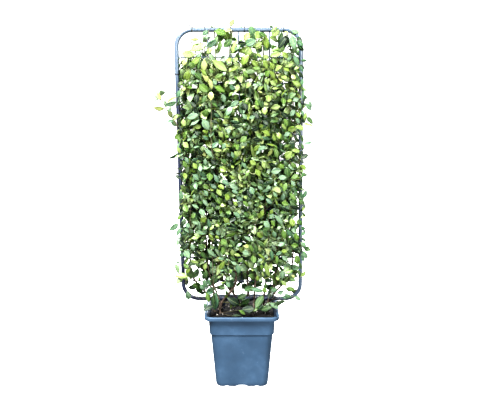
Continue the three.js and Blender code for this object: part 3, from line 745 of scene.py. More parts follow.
def outward(piece):
    """Joins a closed piece's points, turns its faces outward and shades its sharp bends as edges."""
    mesh = piece.data
    work = bmesh.new()
    work.from_mesh(mesh)
    bmesh.ops.remove_doubles(work, verts=work.verts, dist=1e-6)
    bmesh.ops.recalc_face_normals(work, faces=work.faces)
    work.to_mesh(mesh)
    work.free()
    mesh.shade_smooth()
    mesh.set_sharp_from_angle(angle=math.radians(50))


class JASMINE_OT_soil(bpy.types.Operator):
    """Crumbly soil that fills the pot: a rounded-square surface raised by noise, with bark and grit on it"""

    bl_idname = "jasmine.soil"
    bl_label = "Potting Soil"

    def execute(self, context):
        settings = context.scene.jasmine_soil
        crumb = settings.crumb_height / MM
        edge = on_wall(SOIL_TOP - 4, WALL + FIT_GAP)
        ledge_low = (*on_wall(STEP_HEIGHT - 1, WALL + FIT_GAP)[:2], STEP_HEIGHT - 0.3)
        ledge_high = (*on_wall(STEP_HEIGHT + 4, WALL + FIT_GAP)[:2], STEP_HEIGHT + 4.7)
        floor = FOOT_LIFT + WALL + FIT_GAP
        lower = [
            (1, 1, floor), (BASE_HALF - 12, BASE_CORNER - 11, floor),
            on_wall(FOOT_LIFT + WALL + 8, WALL + 1 + FIT_GAP), ledge_low, ledge_high, edge,
        ]
        share = np.linspace(1, 0.01, 44)
        upper = [(edge[0] * s, edge[1] * s ** 0.5, soil_height(edge[0] * s)) for s in share[1:]]
        points = lofted(np.array(lower + upper, dtype=float), 8, 28)
        rows, columns = points.shape[:2]
        free = np.clip((np.arange(rows) - len(lower)) / 2.0, 0, 1)[:, None]
        rough = sum(weight * value_noise(points, *grain) for weight, grain in SOIL_GRAIN)
        points[..., 2] += free * crumb * rough * 0.6
        faces = ring_faces(rows, columns)
        piece = put_mesh("potting_soil", points.reshape(-1, 3), faces, dark_soil())
        outward(piece)
        piece.data.shade_smooth()
        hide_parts("soil")
        points, faces, tones = soil_chips(settings.chip_count)
        put_mesh(
            "bark_and_grit", points, faces, chip_finish(), tones=tones, smooth=False,
        )
        return {"FINISHED"}


def soil_height(half):
    """Height of the mound at a distance from the middle of the pot."""
    distance, rise = np.transpose(MOUND)
    return float(np.interp(half, distance, SOIL_TOP + rise))


def soil_chips(count):
    """Small six-cornered stones and flakes strewn over the soil: each an octahedron stretched and turned."""
    draw = np.random.default_rng(11)
    body = np.array([(1, 0, 0), (0, 1, 0), (-1, 0, 0), (0, -1, 0), (0, 0, 1), (0, 0, -1)], dtype=float)
    sides = np.array([(0, 1, 4), (1, 2, 4), (2, 3, 4), (3, 0, 4), (1, 0, 5), (2, 1, 5), (3, 2, 5), (0, 3, 5)])
    place = draw.uniform(-CHIP_REACH, CHIP_REACH, (count, 2))
    size = draw.gamma(2.2, 1.0, (count, 1)) * np.column_stack([
        draw.uniform(0.7, 2.2, count), draw.uniform(0.5, 1.2, count), draw.uniform(0.35, 0.8, count),
    ])
    size = np.clip(size, *CHIP_SIZES)
    size[:, 2] = np.minimum(size[:, 2], CHIP_TALLEST)
    turn = draw.uniform(0, TAU, count)
    jitter = draw.uniform(0.75, 1.25, (count, 6, 1))
    local = body[None] * jitter * size[:, None]
    x = local[..., 0] * np.cos(turn)[:, None] - local[..., 1] * np.sin(turn)[:, None]
    y = local[..., 0] * np.sin(turn)[:, None] + local[..., 1] * np.cos(turn)[:, None]
    reach = np.abs(place).max(axis=1)
    base = np.array([soil_height(r) for r in reach])
    points = np.stack([x + place[:, :1], y + place[:, 1:], local[..., 2] + base[:, None] + 1.2], axis=-1)
    faces = (sides[None] + np.arange(count)[:, None, None] * 6).reshape(-1, 3)
    tone = draw.beta(1.2, 1.6, count)
    tone = np.where(draw.random(count) < GRIT_SHARE, draw.uniform(0.85, 1.0, count), tone * 0.75)
    tones = np.repeat(np.column_stack([tone, tone, tone, np.ones(count)]), 6, axis=0)
    return points.reshape(-1, 3), faces, tones


class JASMINE_OT_trellis(bpy.types.Operator):
    """Tube loop bent to a rounded rectangle, straight wires welded inside it, two legs and the wire ties"""

    bl_idname = "jasmine.trellis"
    bl_label = "Trellis"

    def execute(self, context):
        settings = context.scene.jasmine_trellis
        coat = powder_coat(settings)
        sides = settings.tube_sides
        around = np.arange(sides) / sides * TAU
        out = TUBE / 2 * np.cos(around)
        tall = (FRAME_TOP - FRAME_BOTTOM) / 2
        outline = rounded_outline(
            FRAME_HALF - TUBE / 2 + out, tall - TUBE / 2 + out, FRAME_CORNER - TUBE / 2 + out, 18, 6,
        )
        columns = outline.shape[1]
        middle = (FRAME_TOP + FRAME_BOTTOM) / 2
        depth = np.repeat(TUBE / 2 * np.sin(around)[:, None], columns, axis=1)
        points = np.stack([outline[..., 0], -depth, outline[..., 1] + middle], axis=-1)
        faces = ring_faces(sides, columns, closed_rings=True)
        piece = put_mesh("trellis_tube", leaned(points.reshape(-1, 3)), faces, coat)
        outward(piece)
        piece.data.shade_smooth()
        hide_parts("trellis_frame")
        low, high = FRAME_BOTTOM + TUBE - WELD, FRAME_TOP - TUBE + WELD
        side = FRAME_HALF - TUBE + WELD
        for i, x in enumerate(UPRIGHT_X, 1):
            self.rod(f"upright_wire_{i}", (x, WIRE_PLANE, low), (x, WIRE_PLANE, high), WIRE / 2, coat,
                     f"trellis_upright_{i}", "coated_wire")
        for i in range(CROSS_WIRES):
            z = CROSS_LOWEST + i * CROSS_PITCH
            start, end = (-side, -WIRE_PLANE, z), (side, -WIRE_PLANE, z)
            self.rod(f"cross_wire_{i + 1:02d}", start, end, WIRE / 2, coat,
                     f"trellis_crosswire_{i + 1:02d}", "coated_wire")
        for name, x in (("left", -LEG_X), ("right", LEG_X)):
            self.rod(f"leg_{name}", (x, 0, HOLE_FLOOR + 2), (x, 0, FRAME_BOTTOM + WELD), LEG / 2, coat,
                     f"trellis_leg_{name}", "coated_tube")
        skin = tie_finish()
        for name, at, tail in TIES:
            self.tie(name, np.array(at, float), np.array(tail, float), skin)
        return {"FINISHED"}

    def rod(self, name, start, end, radius, material, node, slot):
        """A straight round rod with its two ends drawn in to a small bevel."""
        start, end = np.array(start, float), np.array(end, float)
        length = np.linalg.norm(end - start)
        share = np.array([0, 0.5 / length, *np.linspace(0.02, 0.98, 12), 1 - 0.5 / length, 1])
        radii = np.array([radius * 0.8, *([radius] * (len(share) - 2)), radius * 0.8])
        points = start + (end - start) * share[:, None]
        rings = leaned(tube_rings(points, radii, 14))
        piece = put_mesh(name, rings, ring_faces(len(share), 14), material)
        outward(piece)
        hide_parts(node)

    def tie(self, name, at, tail, material):
        """A wire wound twice round the tube, its end let out along a slack line to the tail's tip."""
        along = np.array([1.0, 0, 0]) if "top" in name else np.array([0, 0, 1.0])
        up = tail - at
        up -= up.dot(along) * along
        up /= np.linalg.norm(up)
        side = np.cross(along, up)
        turns = np.linspace(-0.75, 1.0, 44)
        reach = TUBE / 2 + 1.3
        coil = at + reach * (np.cos(turns * TAU)[:, None] * up + np.sin(turns * TAU)[:, None] * side)
        coil += along * np.linspace(-1.6, 1.4, len(turns))[:, None]
        lead = coil[-1] + side * 7 + up * 2
        points = np.vstack([coil, bezier(coil[-1], lead, tail, 12)[1:]])
        radii = np.full(len(points), TIE_RADIUS)
        radii[-3:] = (1.1, 0.95, 0.6)
        rings = leaned(tube_rings(points, radii, 8))
        piece = put_mesh(f"wire_{name}", rings, ring_faces(len(points), 8), material)
        outward(piece)
        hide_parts(name)


def stem_point(stem, z):
    """Middle line of a main stem at a height, by the same rule as the frame's: straight in the soil, a smooth
    fan to its lane, then in front of one cross wire and behind the next."""
    z = np.asarray(z, dtype=float)
    spread = smooth_step(SOIL_TOP + 6, SOIL_TOP + 6 + stem["fan"], z)
    lane = stem["lane"] + WANDER * np.sin(z / 96 + 2 * stem["turn"])
    weave = mix(WEAVE, WEAVE_AT_TUBE, smooth_step(FRAME_TOP - 110, FRAME_TOP - 20, z))
    woven = stem["side"] * weave * np.cos(math.pi * (z - CROSS_LOWEST) / CROSS_PITCH)
    in_mesh = smooth_step(FRAME_BOTTOM + TUBE + 6, CROSS_LOWEST, z)
    low = mix(stem["y"], stem["side"] * WEAVE_AT_TUBE * 1.2, smooth_step(SOIL_TOP + 6, FRAME_BOTTOM + 6, z))
    return np.stack([mix(stem["x"], lane, spread), mix(low, woven, in_mesh), z + 0 * spread], axis=-1)


def stem_radius(stem, z):
    """Radius of a main stem at a height: it thins smoothly from the soil to its tip."""
    return mix(stem["radius"], STEM_TIP_RADIUS, smooth_step(SOIL_TOP, stem["tip"], z) ** 0.8)


def stem_heights(stem):
    """Heights of the bends of the rod that stands for a main stem: one at and between all cross wires."""
    heights = [HOLE_FLOOR + 2, SOIL_TOP + 6, FRAME_BOTTOM - 4, FRAME_BOTTOM + TUBE + 4, 384]
    z = CROSS_LOWEST
    while z < stem["tip"] - 12:
        heights.append(z)
        z += CROSS_PITCH / 2
    return np.array([*heights, stem["tip"]], dtype=float)


def on_stem(stem, z):
    """Point on the bent rod that stands for a main stem in the frame."""
    heights = stem_heights(stem)
    points = stem_point(stem, heights)
    return np.array([np.interp(z, heights, points[:, axis]) for axis in range(3)])


def shoot_line(shoot):
    """Bends of a side shoot of the frame."""
    steps = max(SHOOT_STEPS, shoot["pairs"] + 1)
    start = on_stem(STEMS[shoot["stem"]], shoot["from"])
    return bezier(start, np.array(shoot["by"], float), np.array(shoot["to"], float), steps + 1)


def draws_for(*numbers):
    """Random draws that depend only on the numbers given, so that each leaf has its own."""
    state = 12345
    for number, factor in zip(numbers, (7919, 104729, 1299709, 15485863)):
        state = (state + (number + 1) * factor) & 0xFFFFFFFF
    while True:
        state = (state * 1664525 + 1013904223) & 0xFFFFFFFF
        yield state / 4294967296


class BoxStore:
    """Boxes round everything that a leaf has to stay clear of, with an owner for each."""

    def __init__(self):
        self.centre = np.zeros((0, 3))
        self.turn = np.zeros((0, 3, 3))
        self.half = np.zeros((0, 3))
        self.owner = np.zeros(0, dtype=int)

    def put(self, owner, centre, turn, half):
        """Stores a box by its middle, its three directions and its half sizes along them."""
        self.centre = np.vstack([self.centre, centre])
        self.turn = np.concatenate([self.turn, turn[None]])
        self.half = np.vstack([self.half, half])
        self.owner = np.append(self.owner, owner)

    def rod(self, owner, start, end, radius):
        """Stores the square box round a straight rod."""
        start, end = np.array(start, float), np.array(end, float)
        heading = end - start
        half = np.linalg.norm(heading) / 2
        heading = heading / (2 * half)
        helper = np.array([1.0, 0, 0]) if abs(heading[2]) > 0.8 else np.array([0, 0, 1.0])
        second = np.cross(helper, heading)
        second /= np.linalg.norm(second)
        turn = np.array([heading, second, np.cross(heading, second)])
        self.put(owner, (start + end) / 2, turn, np.array([half, radius, radius]))

    def touched(self, centre, turn, half, skip):
        """True if a box overlaps any stored one that isn't skipped, by the fifteen directions that can
        separate two boxes."""
        gap = self.centre - centre
        span = np.linalg.norm(self.half, axis=1) + np.linalg.norm(half)
        near = (np.linalg.norm(gap, axis=1) < span) & ~skip
        if not near.any():
            return False
        gap, other, other_half = gap[near], self.turn[near], self.half[near]
        cosine = np.einsum("ij,nkj->nik", turn, other)
        size = np.abs(cosine) + np.finfo(float).eps
        shift = gap @ turn.T
        apart = np.zeros(len(gap), dtype=bool)
        for i in range(3):
            apart |= np.abs(shift[:, i]) > half[i] + (other_half * size[:, i]).sum(axis=1)
            along = (shift * cosine[:, :, i]).sum(axis=1)
            apart |= np.abs(along) > (half * size[:, :, i]).sum(axis=1) + other_half[:, i]
        for i in range(3):
            i1, i2 = (i + 1) % 3, (i + 2) % 3
            for j in range(3):
                j1, j2 = (j + 1) % 3, (j + 2) % 3
                reach = half[i1] * size[:, i2, j] + half[i2] * size[:, i1, j]
                reach = reach + other_half[:, j1] * size[:, i, j2] + other_half[:, j2] * size[:, i, j1]
                line = shift[:, i2] * cosine[:, i1, j] - shift[:, i1] * cosine[:, i2, j]
                apart |= np.abs(line) > reach
        return not apart.all()


# Owners of boxes that aren't a vine's stems, and the room that leaves keep round what they grow among
FIXED, LEAF_OWNER = -1, 1000
TUBE_SLACK, ROD_SLACK = 1.5, 0.8
TIE_ROOM, TAIL_ROOM = 11, 3
TIE_SPAN = np.array([4, 0, 4])
RIM_INSET, RIM_SLACK = 10, 2
SOIL_BAR, SOIL_BAR_RADIUS = 280, 26


def fixed_boxes():
    """Boxes of the trellis, ties, pot, soil, stems and side shoots, in the frame's own order."""
    store = BoxStore()
    half, low, high = FRAME_HALF - TUBE / 2, FRAME_BOTTOM + TUBE / 2, FRAME_TOP - TUBE / 2
    bend = FRAME_CORNER - TUBE / 2
    loop = []
    for quarter in range(4):
        x = (1 if quarter in (0, 3) else -1) * (half - bend)
        z = high - bend if quarter < 2 else low + bend
        for i in range(4):
            angle = (quarter + i / 3) * math.pi / 2
            loop.append((x + bend * math.cos(angle), 0, z + bend * math.sin(angle)))
    for point, after in zip(loop, loop[1:] + loop[:1]):
        store.rod(FIXED, point, after, TUBE / 2 + TUBE_SLACK)
    for x in UPRIGHT_X:
        store.rod(FIXED, (x, WIRE_PLANE, low), (x, WIRE_PLANE, high), WIRE / 2)
    for i in range(CROSS_WIRES):
        z = CROSS_LOWEST + i * CROSS_PITCH
        store.rod(FIXED, (-half, -WIRE_PLANE, z), (half, -WIRE_PLANE, z), WIRE / 2)
    for _, at, tail in TIES:
        store.rod(FIXED, at, tail, TAIL_ROOM)
        store.rod(FIXED, at - TIE_SPAN, at + TIE_SPAN, TIE_ROOM)
    rim, radius = POT_HEIGHT - RIM_BAND / 2, RIM_BAND / 2 + RIM_SLACK
    for wall in (RIM_INSET - RIM_HALF, RIM_HALF - RIM_INSET):
        store.rod(FIXED, (wall, -RIM_HALF, rim), (wall, RIM_HALF, rim), radius)
        store.rod(FIXED, (-RIM_HALF, wall, rim), (RIM_HALF, wall, rim), radius)
    store.rod(FIXED, (-RIM_HALF, 0, SOIL_BAR), (RIM_HALF, 0, SOIL_BAR), SOIL_BAR_RADIUS)
    for owner, stem in enumerate(STEMS):
        heights = stem_heights(stem)
        points = stem_point(stem, heights)
        for point, before, z in zip(points[1:], points, heights[1:]):
            store.rod(owner, before, point, float(stem_radius(stem, z)) + ROD_SLACK)
    for shoot in SHOOTS:
        points = shoot_line(shoot)
        for before, point in zip(points, points[1:]):
            store.rod(shoot["stem"], before, point, SHOOT_RADIUS + ROD_SLACK)
    return store


def leaf_pose(root, azimuth, rise, roll, length, lean=LEAF_FACING, up=0.5):
    """Where a leaf lies: its heading, its sideways direction and its upper normal, which leans outward."""
    heading = np.array([
        math.cos(azimuth) * math.cos(rise), math.sin(azimuth) * math.cos(rise), math.sin(rise),
    ])
    heading /= np.linalg.norm(heading)
    normal = np.array([roll, np.sign(heading[1]) * lean, up])
    normal = normal - normal.dot(heading) * heading
    normal /= np.linalg.norm(normal)
    sideways = np.cross(normal, heading)
    return {"root": root, "heading": heading, "sideways": sideways, "normal": normal, "length": length}


def leaf_box(pose, slack):
    """Centre, turn and half sizes of the box round a leaf of the frame's own proportions."""
    length = pose["length"]
    centre = pose["root"] + pose["heading"] * length / 2 - pose["normal"] * length * LEAF_SAG
    turn = np.array([pose["heading"], pose["sideways"], pose["normal"]])
    half = np.array([length / 2, length * LEAF_SLIM / 2, length * LEAF_DEEP]) + slack
    return centre, turn, half


def pair_places(points, first, shares):
    """Places for pairs of leaves: at the given shares of each stretch of a line from its point first on."""
    places = []
    for i, (start, end) in enumerate(zip(points[first:-1], points[first + 1:])):
        places += [(mix(start, end, share), i * len(shares) + k) for k, share in enumerate(shares)]
    return places


def grow_frame_leaves(owner, line, places, size, store):
    """The frame's own leaves: opposite pairs, each turned a quarter from the last. A leaf that can't lie
    clear after a few tries is left out."""
    grown = []
    for place, order in places:
        for half in (0, 1):
            mate = grown[-1]["box"] if grown and grown[-1]["order"] == order else None
            for attempt in range(LEAF_TRIES):
                draw = draws_for(owner, line * 64 + order, half, attempt)
                azimuth = (order * 0.5 + half + 0.2 + (next(draw) - 0.5) * 0.34) * math.pi
                rise = math.radians(mix(LEAF_LOWEST, LEAF_STEEPEST, next(draw)))
                length = size * mix(*FRAME_LEAVES, next(draw)) * (LEAF_CRAMPED if attempt > 1 else 1)
                pose = leaf_pose(place, azimuth, rise, next(draw) - 0.5, length)
                skip = store.owner == owner
                if mate is not None:
                    skip[mate] = True
                box = leaf_box(pose, LEAF_CLEARANCE)
                if not store.touched(*box, skip):
                    store.put(LEAF_OWNER + owner, *box)
                    grown.append({**pose, "order": order, "box": len(store.owner) - 1})
                    break
    return grown


def frame_leaves(store):
    """All the leaves that the frame's vines carry, one list for each vine."""
    vines = []
    for owner, stem in enumerate(STEMS):
        points = stem_point(stem, stem_heights(stem))
        leaves = grow_frame_leaves(owner, 0, pair_places(points, FIRST_LEAFY, STEM_PAIRS), 1, store)
        for line, shoot in enumerate(SHOOTS):
            if shoot["stem"] == owner:
                points = shoot_line(shoot)
                first = max(len(points) - 1 - shoot["pairs"], 1)
                places = pair_places(points, first, SHOOT_PAIRS)
                leaves += grow_frame_leaves(owner, line + 1, places, shoot["leaf"], store)
        vines.append(leaves)
    return vines


# The eye that the picture is seen from
EYE = np.array([33.0, -2570.0, 1205.0])


def seen_at(points):
    """X and Z where points show on the trellis's plane: each slides along its line to the eye."""
    points = leaned(np.atleast_2d(points))
    share = -EYE[1] / (points[:, 1] - EYE[1])
    return EYE[[0, 2]] + (points[:, [0, 2]] - EYE[[0, 2]]) * share[:, None]


def standing_at(seen, depth):
    """Point at a depth that shows at the given X and Z of the trellis's plane."""
    x, z = EYE[[0, 2]] + (np.asarray(seen, dtype=float) - EYE[[0, 2]]) * (depth - EYE[1]) / -EYE[1]
    return np.array([x + LEAN * max(z - FRAME_BOTTOM, 0), depth, z])


# Places left open among the leaves: middle x, middle z, half width and half height, as seen on the trellis's
# plane
OPEN_PLACES = np.array([
    (-188, 1372, 49, 53), (-103, 1345, 20, 32), (-60, 1341, 18, 14), (60, 1341, 20, 20),
    (126, 1383, 14, 20), (169, 1349, 12, 12), (216, 1337, 10, 20), (-6, 1404, 12, 10), (-183, 1211, 16, 20),
    (-191, 1188, 10, 12), (49, 1253, 18, 18), (84, 1257, 8, 16), (174, 1215, 20, 16), (76, 1184, 7, 12),
    (-18, 1168, 20, 18), (13, 1168, 16, 10), (195, 1129, 20, 18), (192, 1063, 16, 28), (-26, 1102, 22, 14),
    (136, 1039, 7, 18), (165, 983, 16, 10), (204, 987, 20, 16), (-137, 981, 9, 20), (-43, 957, 8, 8),
    (-37, 1005, 6, 8), (85, 959, 10, 12), (13, 943, 10, 10), (-213, 1045, 8, 8), (-199, 935, 12, 8),
    (-80, 850, 12, 26), (-177, 802, 12, 9), (-173, 769, 16, 8), (138, 830, 8, 10), (223, 785, 8, 12),
    (-1, 867, 7, 20), (-107, 705, 8, 18), (-142, 695, 9, 16), (-187, 686, 10, 12), (-202, 719, 10, 10),
    (-191, 636, 12, 14), (-155, 653, 14, 12), (-204, 611, 8, 7), (-143, 586, 12, 24), (-123, 578, 10, 18),
    (96, 703, 8, 20), (57, 651, 11, 6), (139, 657, 12, 10), (29, 666, 11, 7), (4, 573, 12, 10),
    (-197, 519, 16, 18), (-74, 531, 9, 18), (-186, 420, 26, 61), (-124, 433, 8, 16), (-87, 420, 16, 10),
    (-75, 377, 32, 12), (-145, 382, 10, 8), (41, 446, 18, 24), (45, 399, 22, 24), (8, 395, 16, 24),
    (66, 476, 6, 12), (124, 463, 7, 20), (128, 403, 13, 18), (162, 390, 16, 16), (219, 403, 20, 32),
    (91, 423, 10, 8), (206, 497, 8, 14),
], dtype=float)


def leafiness(points):
    """How readily a leaf grows at each place: 0 in the open places and outside the trellis, 1 inside."""
    seen = seen_at(points)
    x, z = seen[:, 0], seen[:, 1]
    share = smooth_step(378, 432, z) * (1 - smooth_step(1405, 1440, z))
    share *= mix(0.45, 1, smooth_step(440, 580, z)) * mix(1, 0.62, smooth_step(1170, 1230, z))
    share *= mix(1, mix(0.08, 0.22, smooth_step(-30, 20, x)), smooth_step(1312, 1336, z))
    share *= 1 - smooth_step(0, 1, (np.abs(x) - np.where(x < 0, 244, 254)) / np.where(x < 0, 20, 28))
    inside = (((seen[:, None] - OPEN_PLACES[:, :2]) / OPEN_PLACES[:, 2:]) ** 2).sum(axis=2)
    return share * smooth_step(0.75, 1.3, inside).min(axis=1)


